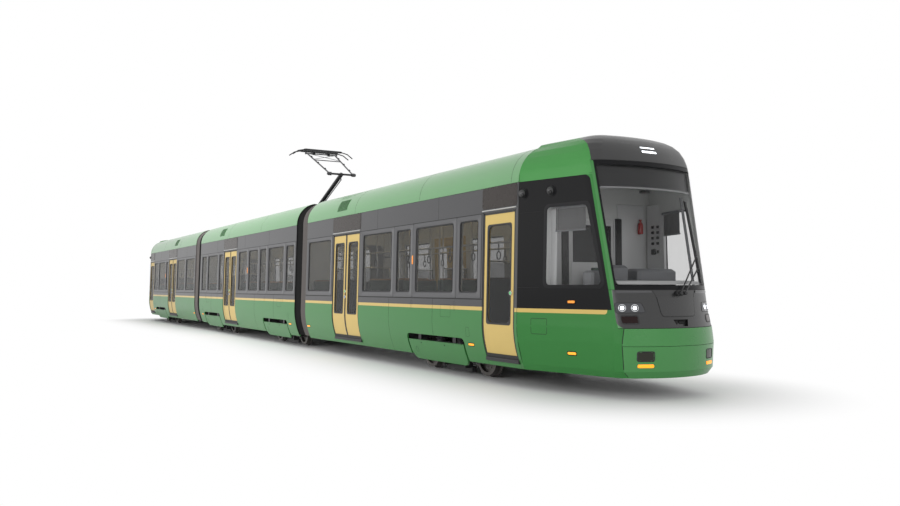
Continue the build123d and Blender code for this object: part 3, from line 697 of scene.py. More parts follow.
def finish(name, colour, roughness, metallic=0.0, grain=40.0, tone=0.05, bump=0.0, coat=0.0,
           alpha=1.0, glow=0.0, sheen=0.0, specular=0.5, pattern="Grain"):
    """Principled finish with a pattern in its colour, roughness and height."""
    if name in FINISHES:
        return FINISHES[name]
    material = bpy.data.materials.new(name)
    material.use_nodes = True
    tree = material.node_tree
    shader = tree.nodes["Principled BSDF"]
    solid = (*colour, 1)
    for label, value in (("Metallic", metallic), ("Coat Weight", coat), ("Coat Roughness", COAT_ROUGHNESS),
                         ("Alpha", alpha), ("Sheen Weight", sheen), ("Specular IOR Level", specular),
                         ("Emission Color", solid), ("Emission Strength", glow)):
        shader.inputs[label].default_value = value
    node = add_group(tree, pattern_group(pattern), {
        "Colour": solid, "Scale": grain, "Tone": tone, "Roughness": roughness})
    node.name = "Pattern"
    tree.links.new(node.outputs["Colour"], shader.inputs["Base Color"])
    tree.links.new(node.outputs["Roughness"], shader.inputs["Roughness"])
    if bump:
        lift = tree.nodes.new("ShaderNodeBump")
        lift.inputs["Strength"].default_value = bump
        lift.inputs["Distance"].default_value = BUMP_DEPTH
        tree.links.new(node.outputs["Height"], lift.inputs["Height"])
        tree.links.new(lift.outputs[0], shader.inputs["Normal"])
    FINISHES[name] = material
    return material


def add_group(tree, inner, values):
    """Node for a group, with its own values."""
    node = tree.nodes.new("ShaderNodeGroup")
    node.node_tree = inner
    for label, value in values.items():
        node.inputs[label].default_value = value
    return node


def colour_by_place(material, name, choose, hues):
    """Feeds a finish with colours chosen by place, and returns the group's colour socket."""
    inner, given, out = group(name, dict.fromkeys(hues, "Color"), {"Colour": "Color"})
    choose(given, *place_axes(inner)).feed(out.inputs["Colour"])
    tree = material.node_tree
    node = add_group(tree, inner, {label: (*colour, 1) for label, colour in hues.items()})
    tree.links.new(node.outputs["Colour"], tree.nodes["Pattern"].inputs["Colour"])
    return node.outputs["Colour"]


def soften(mesh, angle):
    """Shades a solid smoothly over edges flatter than angle."""
    limit = cos(radians(angle))
    spots = [tuple(round(v, 5) for v in vertex.co) for vertex in mesh.vertices]
    around = {}
    for face in mesh.polygons:
        for index in face.vertices:
            around.setdefault(spots[index], []).append((face.normal, face.area))
    normals = []
    for face in mesh.polygons:
        face.use_smooth = True
        for index in face.vertices:
            total = Vector()
            for normal, area in around[spots[index]]:
                if normal.dot(face.normal) > limit:
                    total += normal * area
            normals.append(total.normalized())
    mesh.normals_split_custom_set(normals)


def paint(name, look, angle=30.0):
    """Gives a CAD node a finish and smooth shading."""
    mesh = NODES[name].data
    mesh.materials.clear()
    mesh.materials.append(look)
    soften(mesh, angle)


# Settings
def colour_property(name, text, default):
    return bpy.props.FloatVectorProperty(name=name, description=text, default=default, subtype="COLOR",
                                         size=3, min=0.0, max=1.0)


def length_property(name, text, default):
    return bpy.props.FloatProperty(name=name, description=text, default=default, unit="LENGTH")


def angle_property(name, text, degrees):
    return bpy.props.FloatProperty(name=name, description=text, default=radians(degrees), subtype="ANGLE")


class TramPaint(bpy.types.PropertyGroup):
    """Colours of the tram."""

    green: colour_property("Body green", "Skirts, bumpers and cab sides", (0.042, 0.185, 0.048))
    roof: colour_property("Roof green", "Fairings over the windows", (0.07, 0.262, 0.074))
    gold: colour_property("Gold", "Doors and stripe", (0.575, 0.418, 0.134))
    band: colour_property("Window band", "Panels round the windows", (0.058, 0.058, 0.061))
    black: colour_property("Gloss black", "Front mask and cab side panels", (0.006, 0.006, 0.0065))
    lining: colour_property("Lining", "Inside panels", (0.62, 0.63, 0.62))
    amber: colour_property("Amber", "Marker lamps and reflectors", (0.95, 0.30, 0.015))


class TramTrim(bpy.types.PropertyGroup):
    """Sizes of the trim."""

    proud: length_property("Frame proud", "How far window frames stand out", 0.006)
    seam: length_property("Seam width", "Width of the gaps between panels", 0.007)
    seal: length_property("Door seal", "Width of the rubber round a door leaf", 0.040)
    pole: length_property("Pole radius", "Radius of the poles and rails", 0.017)


class TramStage(bpy.types.PropertyGroup):
    """Camera and light."""

    lens: bpy.props.FloatProperty(name="Lens", description="Focal length on a 36 mm sensor", default=32.8)
    eye: bpy.props.FloatVectorProperty(name="Camera place", description="Where the camera stands",
                                       default=(24.079, -8.04, 1.4546), subtype="XYZ", unit="LENGTH")
    yaw: angle_property("Camera yaw", "Turn from straight back along the tram", 30.03)
    pitch: angle_property("Camera pitch", "Upward tilt", 2.44)
    sky: bpy.props.FloatProperty(name="Sky", description="Strength of the light all round", default=0.42)


class TramOperator(bpy.types.Operator):
    """Base of the tram's building steps"""

    bl_options = {"REGISTER", "UNDO"}


class TRAM_OT_stage(TramOperator):
    """Adds the camera, the floor and the lights"""

    bl_idname = "tram.stage"
    bl_label = "Stage"

    sensor = 36.0
    view_reach = 500.0
    floor_half = 400.0
    floor_grey = 0.9
    floor_rough = 0.55
    fade = (1.0, 3.4)
    # Lamps as name, place, target, size, power and whether gloss shows them
    lamps = (
        ("Roof light", (0, -3.0, 13.0), (0, 0, 0), (44.0, 9.0), 3400.0, False),
        ("Side light", (8.0, -20.0, 5.0), (0, 0, 1.6), (34.0, 7.0), 1600.0, True),
        ("Front light", (34.0, -2.0, 7.0), (16.0, 0, 1.6), (10.0, 8.0), 1050.0, False),
    )

    def execute(self, context):
        stage = context.scene.tram_stage
        self.make_camera(context.scene, stage)
        context.scene.view_settings.view_transform = "Standard"
        self.make_sky(context.scene, stage.sky)
        self.make_floor(context.scene)
        for lamp in self.lamps:
            self.make_lamp(context.scene, *lamp)
        return {"FINISHED"}

    def make_camera(self, scene, stage):
        view = bpy.data.cameras.new("Camera")
        view.sensor_width = self.sensor
        view.lens = stage.lens
        view.clip_end = self.view_reach
        camera = bpy.data.objects.new("Camera", view)
        scene.collection.objects.link(camera)
        camera.location = stage.eye
        level = cos(stage.pitch)
        ahead = Vector((-cos(stage.yaw) * level, sin(stage.yaw) * level, sin(stage.pitch)))
        camera.rotation_euler = ahead.to_track_quat("-Z", "Y").to_euler()
        scene.camera = camera

    def make_lamp(self, scene, name, place, target, size, power, shown):
        light = bpy.data.lights.new(name, "AREA")
        light.shape = "RECTANGLE"
        light.size, light.size_y = size
        light.energy = power
        lamp = bpy.data.objects.new(name, light)
        scene.collection.objects.link(lamp)
        lamp.location = place
        lamp.visible_glossy = shown
        aim = Vector(target) - Vector(place)
        lamp.rotation_euler = aim.to_track_quat("-Z", "X" if abs(aim.z) > abs(aim.x) else "Y").to_euler()

    def make_sky(self, scene, strength):
        """White where it is seen, and softer as a light."""
        world = bpy.data.worlds.new("Studio")
        scene.world = world
        world.use_nodes = True
        tree = world.node_tree
        back = tree.nodes["Background"]
        back.inputs["Color"].default_value = (1, 1, 1, 1)
        path = tree.nodes.new("ShaderNodeLightPath")
        rays = [Field(tree, path.outputs[f"Is {kind} Ray"]) for kind in ("Camera", "Transmission", "Glossy")]
        seen = rays[0].at_least(rays[1]).at_least(rays[2])
        (seen + (1.0 - seen) * strength).feed(back.inputs["Strength"])

    def make_floor(self, scene):
        """Pale floor that keeps the shadow near the tram and is white further off."""
        far = self.floor_half
        mesh = bpy.data.meshes.new("Floor")
        corners = [(-far, -far, 0), (far, -far, 0), (far, far, 0), (-far, far, 0)]
        mesh.from_pydata(corners, [], [(0, 1, 2, 3)])
        floor = bpy.data.objects.new("Floor", mesh)
        scene.collection.objects.link(floor)
        material = bpy.data.materials.new("Pale floor")
        material.use_nodes = True
        tree = material.node_tree
        shader = tree.nodes["Principled BSDF"]
        shader.inputs["Base Color"].default_value = (self.floor_grey, self.floor_grey, self.floor_grey, 1)
        shader.inputs["Roughness"].default_value = self.floor_rough
        glow = tree.nodes.new("ShaderNodeEmission")
        mix = tree.nodes.new("ShaderNodeMixShader")
        x, y, _ = place_axes(tree)
        past = (abs(x) - (NOSE - HALF)).at_least(0.0)
        fade = tree.nodes.new("ShaderNodeMapRange")
        fade.interpolation_type = "SMOOTHSTEP"
        fade.inputs["From Min"].default_value, fade.inputs["From Max"].default_value = self.fade
        (past * past + y * y).math("SQRT").feed(fade.inputs["Value"])
        tree.links.new(fade.outputs[0], mix.inputs[0])
        tree.links.new(shader.outputs[0], mix.inputs[1])
        tree.links.new(glow.outputs[0], mix.inputs[2])
        tree.links.new(mix.outputs[0], tree.nodes["Material Output"].inputs["Surface"])
        mesh.materials.append(material)


# Finishes that several pieces share
SALOON_TINT = 0.36
CAB_TINT = 0.12
SCREEN_TINT = 0.13


def colours():
    return bpy.context.scene.tram_paint


def rubber():
    return finish("Black rubber", (0.012, 0.012, 0.013), 0.55, grain=80.0, tone=0.12)


def seam_black():
    return finish("Seam black", (0.004, 0.004, 0.004), 0.8, grain=50.0)


def green_paint():
    return finish("Green paint", colours().green, 0.3, grain=3.0, tone=0.04, specular=0.3)


def amber_lamp():
    return finish("Amber lamp", colours().amber, 0.25, grain=90.0, tone=0.1, glow=1.1)


# Amber reflectors glow faintly: a painted glow for the light that they throw back, since they are no lamps
def glowing_amber_reflector():
    return finish("Amber reflector painted glow", colours().amber, 0.3, grain=160.0, tone=0.15, glow=0.15)


def steel():
    return finish("Brushed steel", (0.55, 0.55, 0.54), 0.3, metallic=1.0, grain=300.0, tone=0.12,
                  pattern="Brushed")


def glass_border():
    return finish("Glass border", (0.007, 0.007, 0.008), 0.3, grain=9.0, tone=0.1, specular=0.12)


def tint_group():
    """Group that gives the cab's side glass a lighter tint than the saloon's."""
    tree, given, out = group("Glass tint", {"Saloon": "Float", "Cab": "Float"}, {"Alpha": "Float"})
    x = place_axes(tree)[0]
    in_cab = abs(x) > CAB_X + 0.05
    less = (given["Saloon"] - given["Cab"]) * in_cab
    (given["Saloon"] - less).feed(out.inputs["Alpha"])
    return tree


def clear_glass():
    if "Window glass" in FINISHES:
        return FINISHES["Window glass"]
    glass = finish("Window glass", (0.012, 0.013, 0.013), 0.2, grain=2.0, tone=0.01)
    tree = glass.node_tree
    tint = add_group(tree, tint_group(), {"Saloon": SALOON_TINT, "Cab": CAB_TINT})
    tree.links.new(tint.outputs["Alpha"], tree.nodes["Principled BSDF"].inputs["Alpha"])
    return glass


class TRAM_OT_finishes(TramOperator):
    """Paints the solid pieces of the frame"""

    bl_idname = "tram.finishes"
    bl_label = "Finishes"

    # How much lighter the bumper green is than the body green: a painted highlight for the front light on
    # the bumper
    bumper_painted_highlight = 1.16

    def execute(self, context):
        hue = context.scene.tram_paint
        dark = finish("Collector black", (0.014, 0.014, 0.015), 0.42, grain=30.0, tone=0.15)
        wheel = finish("Wheel steel", (0.10, 0.092, 0.086), 0.45, metallic=0.8, grain=25.0, tone=0.2,
                       bump=0.1)
        metal = finish("Underframe grey", (0.02, 0.02, 0.021), 0.6, grain=18.0, tone=0.2, bump=0.2)
        looks = {**self.outside(hue), **self.inside(hue), "wiper": dark}
        for name in NODES:
            label = name.partition("_")[2]
            if label in looks:
                paint(name, looks[label])
            elif name.startswith("bogie"):
                paint(name, wheel if "wheelset" in name else metal)
            elif name.startswith("pantograph"):
                paint(name, dark)
        return {"FINISHED"}

    def outside(self, hue):
        """Finishes of the body, by the label of the node."""
        side = finish("Body side", hue.green, 0.3, grain=3.0, tone=0.04, specular=0.3)
        livery = {"Skirt": hue.green, "Stripe": hue.gold, "Band": hue.band, "Lining": hue.lining}
        # Shade is a near-black painted shade for the inside of the skirt and the gaps over the bogie covers
        colour_by_place(side, "Side livery", side_colours, {**livery, "Shade": (0.006, 0.006, 0.006)})
        cab = finish("Cab side", hue.green, 0.26, grain=3.0, tone=0.04, specular=0.08)
        colour_by_place(cab, "Cab livery", cab_colours, {**livery, "Band": hue.black, "Roof": hue.roof})
        mask = finish("Front mask", hue.black, 0.3, grain=5.0, tone=0.12, specular=0.75)
        colour_by_place(mask, "Mask livery", mask_colours, {"Mask": hue.black, "Corner": hue.green})
        roof = finish("Roof", hue.roof, 0.3, grain=3.0, tone=0.04, coat=0.4, specular=1.0)
        colour_by_place(roof, "Roof livery", roof_colours, {
            "Fairing": hue.roof, "Deck": (0.075, 0.078, 0.078), "Ceiling": hue.lining})
        # The bumper green is a lighter copy of the body green, a painted highlight
        painted_highlight_green = [self.bumper_painted_highlight * part for part in hue.green]
        return {
            "side_walls": side,
            "cab_shell": cab,
            "cab_mask": mask,
            "roof": roof,
            "bumper": finish("Bumper green painted highlight", painted_highlight_green, 0.28, grain=3.0, tone=0.04, coat=0.1, specular=0.36),
            "doors": finish("Gold paint", hue.gold, 0.4, grain=4.0, tone=0.04, specular=0.3),
            "windows": clear_glass(),
            "windscreen": finish("Windscreen glass", (0.012, 0.013, 0.013), 0.2, grain=2.0, tone=0.01,
                                 alpha=SCREEN_TINT),
            "lamps": self.lenses(hue),
            "roof_units": finish("Roof case", (0.30, 0.31, 0.31), 0.42, metallic=0.4, grain=120.0, tone=0.1,
                                 pattern="Brushed"),
        }

    def inside(self, hue):
        """Finishes of the saloon and the cab, by the label of the node."""
        lining = finish("Lining", hue.lining, 0.5, grain=60.0, tone=0.04)
        deck = finish("Floor covering", (0.1, 0.1, 0.1), 0.6, grain=140.0, tone=0.14, bump=0.02,
                      pattern="Speckle")
        colour_by_place(deck, "Deck colours", deck_colours, {
            "Frame": (0.018, 0.018, 0.019), "Floor": (0.11, 0.112, 0.115)})
        return {
            "portals": lining,
            "bulkhead": lining,
            "underframe": deck,
            "desk": finish("Desk plastic", (0.10, 0.105, 0.115), 0.5, grain=90.0, tone=0.08, bump=0.2),
            "seats": finish("Bench shell", (0.02, 0.045, 0.034), 0.45, grain=120.0, tone=0.1),
        }

    def lenses(self, hue):
        """Lamp lenses that glow in their own colours."""
        lens = finish("Lamp lens", (0.9, 0.93, 1.0), 0.1, grain=70.0, tone=0.05, glow=1.0, specular=0.2)
        shown = colour_by_place(lens, "Lamp colours", lamp_colours, {
            "Amber": hue.amber, "Marker": (0.012, 0.012, 0.009),
            "Tail": (0.006, 0.0015, 0.0015), "White": (0.10, 0.11, 0.12)})
        tree = lens.node_tree
        tree.links.new(shown, tree.nodes["Principled BSDF"].inputs["Emission Color"])
        return lens


class TRAM_OT_windows(TramOperator):
    """Adds a raised frame and a gasket round each side window"""

    bl_idname = "tram.windows"
    bl_label = "Window frames"

    glass_corner = 0.055
    frame_corner = 0.02
    edge = 0.004
    rebate = 0.022
    gasket_in = 0.008
    gasket_width = 0.018
    gasket_foot = -GLASS_IN - 0.001
    dark_width = 0.05

    def execute(self, context):
        proud = context.scene.tram_trim.proud
        grey = finish("Frame grey", (0.055, 0.055, 0.059), 0.42, grain=30.0, tone=0.06, coat=0.2)
        for name in SECTIONS:
            frames, gaskets = shapes(2)
            for x0, x1 in FRAMES[name]:
                self.frame(frames, x0, x1, proud)
                ring = aside(self.opening(x0, x1, 0.0), self.gasket_in, True)
                gaskets.stroke(ring, self.gasket_width, on_wall, -GLASS_IN + 0.004, True, self.gasket_foot)
                if x0 in DARK_EDGES:
                    glass = x0 + FRAME_EDGE
                    strip = rounded(glass, glass + self.dark_width, GLASS_LOW, GLASS_TOP, self.frame_corner)
                    gaskets.pad(strip, on_wall, -GLASS_IN + 0.005, 0.002, self.gasket_foot)
            build_sides(name, (("window_frames", frames, grey, "mask_black"),
                               ("window_gaskets", gaskets, rubber(), "bellows_rubber")))
        return {"FINISHED"}

    def opening(self, x0, x1, grow):
        """Outline of the glass, grown outwards."""
        return rounded(x0 + FRAME_EDGE - grow, x1 - FRAME_EDGE + grow, GLASS_LOW - grow, GLASS_TOP + grow,
                       self.glass_corner + grow)

    def border(self, x0, x1, inset):
        """Outline of the frame, drawn in."""
        return rounded(x0 + inset, x1 - inset, FRAME_LOW + inset, FRAME_TOP - inset, self.frame_corner)

    def frame(self, shape, x0, x1, proud):
        """Flat frame with a step down to the glass."""
        b = self.edge
        step = self.rebate
        level = proud - b / 2
        rings = []
        for line, size, out in ((self.border, 0.0, 0.0005), (self.border, 0.0, proud - b),
                                (self.border, b, proud), (self.opening, step + b, proud),
                                (self.opening, step, level), (self.opening, step - b, level),
                                (self.opening, b, level), (self.opening, 0.0, proud - 2 * b),
                                (self.opening, 0.0, -GLASS_IN)):
            rings.append([on_wall(x, z, out) for x, z in line(x0, x1, size)])
        shape.loops(rings)


class TRAM_OT_doors(TramOperator):
    """Adds seals, window gaskets, buttons, steps and displays to the doors"""

    bl_idname = "tram.doors"
    bl_label = "Door trim"

    glass_edge = 0.13
    glass_low = 0.93
    glass_top = 2.394
    glass_round = 0.11
    # Rings of the gasket as growth over the glass, corner radius and depth
    gasket_rings = ((0.022, 0.05, -0.012), (0.019, 0.047, -0.008), (0.001, glass_round, -0.008),
                    (-0.008, glass_round, -0.018), (-0.008, glass_round, -0.026))
    foot_seal = 0.053
    head_seal = 0.033
    meeting_share = 0.8
    display_z = (2.655, 2.982)
    display_rim = 0.03
    drip_z = 2.632
    step_nose_z = 0.383
    button_reach = 0.33
    button_ring = ((0.034, -0.01), (0.034, 0.006), (0.03, 0.01), (0.024, 0.01), (0.023, 0.002))

    def execute(self, context):
        seal = context.scene.tram_trim.seal
        display = finish("Display glass", (0.030, 0.024, 0.021), 0.28, grain=6.0, tone=0.12, specular=0.25)
        tread = finish("Step metal", (0.055, 0.056, 0.06), 0.42, metallic=0.5, grain=200.0, tone=0.12,
                       pattern="Brushed")
        green = finish("Green button", (0.05, 0.42, 0.12), 0.3, grain=90.0, tone=0.05, glow=0.25)
        blue = finish("Blue button", (0.04, 0.16, 0.5), 0.3, grain=90.0, tone=0.05, glow=0.1)
        for name in SECTIONS:
            seals, panels, rails, steps, high, low = shapes(6)
            for x, width in DOORS[name]:
                self.seals(seals, x, width, seal)
                self.display(panels, x, width)
                self.rails(rails, steps, x, width)
                self.buttons(high, low, rails, x, width)
            build_sides(name, (("door_seals", seals, rubber(), "bellows_rubber"),
                               ("displays", panels, display, "mask_black"),
                               ("door_rails", rails, steel(), "wheel_steel"),
                               ("step_edges", steps, tread, "wheel_steel"),
                               ("door_buttons", high, green, "door_gold"),
                               ("low_buttons", low, blue, "door_gold")))
        return {"FINISHED"}

    def seals(self, shape, x, width, seal):
        """Rubber round each door, between its leaves and round their glass."""
        x0 = x - width / 2
        x1 = x + width / 2
        edges = [(x0, x0 + seal), (x1 - seal, x1)]
        leaves = [(x0, x1)]
        if width > SINGLE_DOOR:
            meeting = seal * self.meeting_share
            edges.append((x - meeting, x + meeting))
            leaves = [(x0, x), (x, x1)]
        for a, b in edges:
            self.strip(shape, a, b, STEP_Z, DOOR_TOP)
        for a, b in ((STEP_Z, STEP_Z + self.foot_seal), (DOOR_TOP - self.head_seal, DOOR_TOP)):
            self.strip(shape, x0, x1, a, b)
        for a, b in leaves:
            rings = []
            for grow, radius, out in self.gasket_rings:
                line = rounded(a + self.glass_edge - grow, b - self.glass_edge + grow,
                               self.glass_low - grow, self.glass_top + grow, radius)
                rings.append([on_wall(u, v, out) for u, v in line])
            shape.loops(rings)

    def strip(self, shape, x0, x1, z0, z1):
        """Rubber strip that follows the curve of the side."""
        edge = 0.003
        low = -0.013
        high = -0.006
        rows = ((x0, low), (x0 + edge, high), (x1 - edge, high), (x1, low))
        shape.sheet([[on_wall(x, z, out) for z in marks(z0, z1, 15)] for x, out in rows])

    def display(self, shape, x, width):
        """Blank display over the door, with its rim."""
        rim = self.display_rim
        low, top = self.display_z
        x0 = x - width / 2 - rim
        x1 = x + width / 2 + rim
        shape.pad(rounded(x0, x1, low, top, 0.05), on_wall, 0.006)
        line = rounded(x0 + rim, x1 - rim, low + rim, top - rim, 0.03)
        shape.stroke(line, 0.006, on_wall, 0.0075, True, 0.004)

    def rails(self, shape, steps, x, width):
        """Drip rail over the door and ribbed step edge."""
        x0 = x - width / 2
        x1 = x + width / 2
        shape.tube([on_wall(u, self.drip_z, 0.004) for u in marks(x0 - 0.02, x1 + 0.02, 3)], 0.011)
        nose = side_y(self.step_nose_z) + 0.022
        for z in (0.366, 0.382, 0.398):
            steps.tube([(u, nose, z) for u in marks(x0 + 0.004, x1 - 0.004, 3)], 0.006, 8)
        for k in range(5):
            y = nose - 0.025 - 0.018 * k
            steps.tube([(u, y, 0.4155) for u in marks(x0 + 0.02, x1 - 0.02, 3)], 0.004, 6)

    def buttons(self, high, low, rings, x, width):
        spots = [(high, x, 1.383), (low, x, 1.269)]
        if width < DOUBLE_DOOR:
            spots = [(high, x + self.button_reach if x > 0 else x - self.button_reach, 1.38)]
        axis = (0, 1, LEAN)
        for shape, u, z in spots:
            centre = on_wall(u, z, -0.004)
            shape.button(centre, axis, 0.022, 0.014)
            rings.lathe(self.button_ring, centre, axis)


class TRAM_OT_sides(TramOperator):
    """Adds the gaps between body panels, hatches, reflectors and marker lamps"""

    bl_idname = "tram.sides"
    bl_label = "Side trim"

    marker_half = 0.075
    marker_z = (0.552, 0.582)
    marker_rim = 0.01
    reflector_half = 0.018
    reflector_z = (1.876, 2.033)
    cover_half = 0.9
    fine_share = 0.5
    upper_share = 0.7
    skirt_seam = 1.7

    def execute(self, context):
        seam = context.scene.tram_trim.seam
        for name in SECTIONS:
            lines, lamps, glass, rims = shapes(4)
            self.waist(lines, name)
            self.panels(lines, name, seam)
            self.hatches(lines, name, seam)
            self.covers(lines, rims, name)
            for x in MARKERS[name]:
                self.marker(lamps, lines, x)
            # Reflector plates glow faintly, a painted glow
            for x in REFLECTORS[name]:
                plate = rounded(x - self.reflector_half, x + self.reflector_half, *self.reflector_z, 0.012)
                glass.pad(plate, on_wall, 0.014, base=0.0)
            build_sides(name, (("cover_rims", rims, green_paint(), "body_green"),
                               ("seams", lines, seam_black(), "mask_black"),
                               ("marker_lamps", lamps, amber_lamp(), "lamp_lens"),
                               ("reflectors", glass, glowing_amber_reflector(), "lamp_lens")))
        return {"FINISHED"}

    def marker(self, lamps, lines, x):
        low, top = self.marker_z
        rim = self.marker_rim
        half = self.marker_half
        lamps.pad(rounded(x - half, x + half, low, top, 0.012), on_wall, 0.009)
        half += rim
        lines.stroke(rounded(x - half, x + half, low - rim, top + rim, 0.02), 0.008, on_wall, 0.003, True)

    def waist(self, shape, name):
        """Long lines under and over the windows, and under the cant."""
        low, high = SPANS[name]
        doors = sorted((x - w / 2, x + w / 2) for x, w in DOORS[name])
        cuts = [low + 0.01] + [v for door in doors for v in door] + [high - 0.01]
        for a, b in zip(cuts[::2], cuts[1::2]):
            if b - a > 0.3:
                shape.stroke([(a, WAIST_Z - 0.006), (b, WAIST_Z - 0.006)], 0.014, on_wall)
                shape.stroke([(a, FRAME_TOP + 0.008), (b, FRAME_TOP + 0.008)], 0.009, on_wall)
        shape.stroke([(low + 0.003, PANEL_TOP), (high - 0.003, PANEL_TOP)], 0.008, on_wall, 0.0015)

    def panels(self, shape, name, seam):
        """Upright gaps between frames, in the skirt and in the cant panel."""
        upper = seam * self.upper_share
        for x0, x1 in FRAMES[name]:
            for x in (x0 - MARGIN, x1 + MARGIN):
                shape.stroke([(x, FRAME_LOW), (x, FRAME_TOP)], 0.008, on_wall)
        for x in CANT_SEAMS[name]:
            shape.stroke([(x, FRAME_TOP + 0.01), (x, PANEL_TOP)], upper, on_wall)
        for x, width in DOORS[name]:
            for edge in (x - width / 2, x + width / 2):
                shape.stroke([(edge, DOOR_TOP), (edge, PANEL_TOP)], upper, on_wall)
                shape.stroke([(edge, SILL_Z + 0.002), (edge, 0.35)], upper, on_wall)

    def hatches(self, shape, name, seam):
        """Skirt seams, hatches and flaps beside each bogie."""
        fine = seam * self.fine_share
        top = WAIST_Z - 0.012
        for x in BOGIES[name]:
            inward = -1 if x > 0 else 1
            shape.stroke([(x, z) for z in marks(0.655, top, 12)], seam, on_wall)
            shape.stroke([(x + inward * self.skirt_seam, z) for z in marks(SILL_Z, top, 16)], seam, on_wall)
            ends = sorted((x - inward * 0.28, x - inward * 0.61))
            lines = [rounded(*ends, 0.979, 1.183, 0.02)]
            ends = sorted((x - inward * 1.09, x - inward * 1.19))
            lines.append(spread(rounded(*ends, 0.688, 0.836, 0.02), 0.02, True))
            for dx in (-0.78, 0.735):
                u = x - inward * dx
                lines.append(rounded(u - 0.025, u + 0.025, 1.09, 1.24, 0.025))
            for line in lines:
                shape.stroke(line, fine, on_wall, 0.0008, True)

    def covers(self, lines, rims, name):
        """Bolts, plug and top rim of the bogie covers."""
        for x in BOGIES[name]:
            for dx in (-0.5, 0.32):
                lines.button(on_wall(x + dx, 0.5, 0.0), (0, 1, -0.2), 0.014, 0.003, 14)
            plug = [(x - 0.72 + spot.x, 0.375 + spot.y) for spot in circle(0.045, 24)]
            lines.stroke(plug, 0.006, on_wall, 0.001, True)
            top = [(u, COVER_TOP - 0.006) for u in marks(x - self.cover_half, x + self.cover_half, 3)]
            rims.stroke(top, 0.012, on_wall, 0.007)


class TRAM_OT_roofs(TramOperator):
    """Adds fairing seams, vents, edge rails and fittings of the roof cases"""

    bl_idname = "tram.roofs"
    bl_label = "Roof trim"

    # Share of the roof green that the louvres keep: a darker copy, painted shade of their slots
    vent_painted_shade = 0.45
    vent_half = 0.25
    vent_angles = (0.22, 0.68)
    slats = 9
    louvre_half = (0.16, 0.008, 0.009)
    fan_rim = ((0.27, -0.01), (0.27, 0.018), (0.255, 0.022), (0.24, 0.018), (0.235, -0.005))
    fan_rings = (0.07, 0.13, 0.19)
    spokes = 7
    conduit_y = 0.78
    conduit_pitch = 0.028

    def execute(self, context):
        hue = context.scene.tram_paint
        # Louvres in a darkened copy of the roof green, painted shade
        louvre = finish("Vent green painted shade", [self.vent_painted_shade * v for v in hue.roof], 0.5, grain=40.0, tone=0.08)
        green = finish("Roof paint", hue.roof, 0.3, grain=3.0, tone=0.04, coat=0.4, specular=1.0)
        rail = finish("Roof rail", (0.12, 0.125, 0.125), 0.45, metallic=0.6, grain=200.0, tone=0.1,
                      pattern="Brushed")
        black = finish("Fan black", (0.02, 0.02, 0.022), 0.5, grain=60.0, tone=0.15)
        cable = finish("Conduit grey", (0.03, 0.03, 0.032), 0.6, grain=120.0, tone=0.15, bump=0.2)
        for name in SECTIONS:
            lines, vents, lips, rails, fans, pipes = shapes(6)
            for x in ROOF_SEAMS[name]:
                lines.stroke([(x, a) for a in marks(0.02, ROOF_SWEEP - 0.02, 14)], 0.008, on_roof)
            for x in VENTS[name]:
                self.vent(vents, x)
            ways = marks(SPANS[name][0] + 0.01, SPANS[name][1] - 0.01, 3)
            lips.tube([on_roof(x, ROOF_SWEEP, -0.006) for x in ways], 0.009)
            lips.tube([on_roof(x, 0.0, 0.001) for x in ways], 0.006)
            build_sides(name, (("roof_lips", lips, green, "roof_green"),
                               ("roof_seams", lines, seam_black(), "mask_black"),
                               ("roof_vents", vents, louvre, "roof_green")))
            for x0, x1 in UNITS[name]:
                self.case(rails, x0, x1)
                self.fan(fans, x0 + 0.5)
                self.fan(fans, x1 - 0.5)
            self.pipes(pipes, name)
            build(f"{name}_roof_rails", rails, rail, BODY[name])
            build(f"{name}_roof_fans", fans, black, BODY[name])
            build(f"{name}_roof_conduits", pipes, cable, BODY[name])
        return {"FINISHED"}

    def vent(self, shape, x):
        """Louvred square on the fairing."""
        a0, a1 = self.vent_angles
        x0 = x - self.vent_half
        x1 = x + self.vent_half
        frame = spread([(x0, a0), (x1, a0), (x1, a1), (x0, a1)], 0.06, True)
        shape.stroke(frame, 0.02, on_roof, 0.004, True)
        for k in range(self.slats):
            low = a0 + (a1 - a0) * k / self.slats
            high = a0 + (a1 - a0) * (k + 0.9) / self.slats
            rows = ((low, 0.001), (low, 0.008), (high, 0.001))
            shape.sheet([[on_roof(u, angle, out) for u in (x0, x1)] for angle, out in rows])

    def case(self, shape, x0, x1):
        """Lifting eyes and side louvres of a roof case."""
        y = UNIT_HALF
        dx, dy, dz = self.louvre_half
        for x in (x0 + 0.12, x1 - 0.12):
            for side in (-1, 1):
                shape.tube([(x + 0.035 * cos(a), side * (y - 0.09), UNIT_TOP + 0.03 * sin(a))
                            for a in marks(0, pi, 9)], 0.007, 8)
        for x in marks(x0 + 0.3, x1 - 0.3, int((x1 - x0) / 0.45)):
            for side in (-1, 1):
                for z in marks(3.13, 3.35, 7):
                    shape.box((x - dx, side * y - dy, z - dz), (x + dx, side * y + dy, z + dz), 0.004)

    def fan(self, shape, x):
        shape.lathe(self.fan_rim, (x, 0, UNIT_TOP), UP, 40)
        for k in range(self.spokes):
            a = 2 * pi * k / self.spokes
            tip = (x + 0.236 * cos(a), 0.236 * sin(a), UNIT_TOP + 0.012)
            shape.tube([(x, 0, UNIT_TOP + 0.014), tip], 0.006, 6)
        for r in self.fan_rings:
            ring = [(x + r * cos(t), r * sin(t), UNIT_TOP + 0.013) for t in marks(0, 2 * pi, 33)]
            shape.tube(ring, 0.004, 6)

    def pipes(self, shape, name):
        """Cable runs along the roof slab with clamps."""
        low, high = SPANS[name]
        for k in range(3):
            y = self.conduit_y + self.conduit_pitch * k
            shape.tube([(x, y, SLAB_TOP + 0.014) for x in marks(low + 0.2, high - 0.2, 5)], 0.012, 8)
        for x in marks(low + 0.6, high - 0.6, 9):
            shape.box((x - 0.015, 0.76, SLAB_TOP), (x + 0.015, 0.858, SLAB_TOP + 0.03), 0.004)


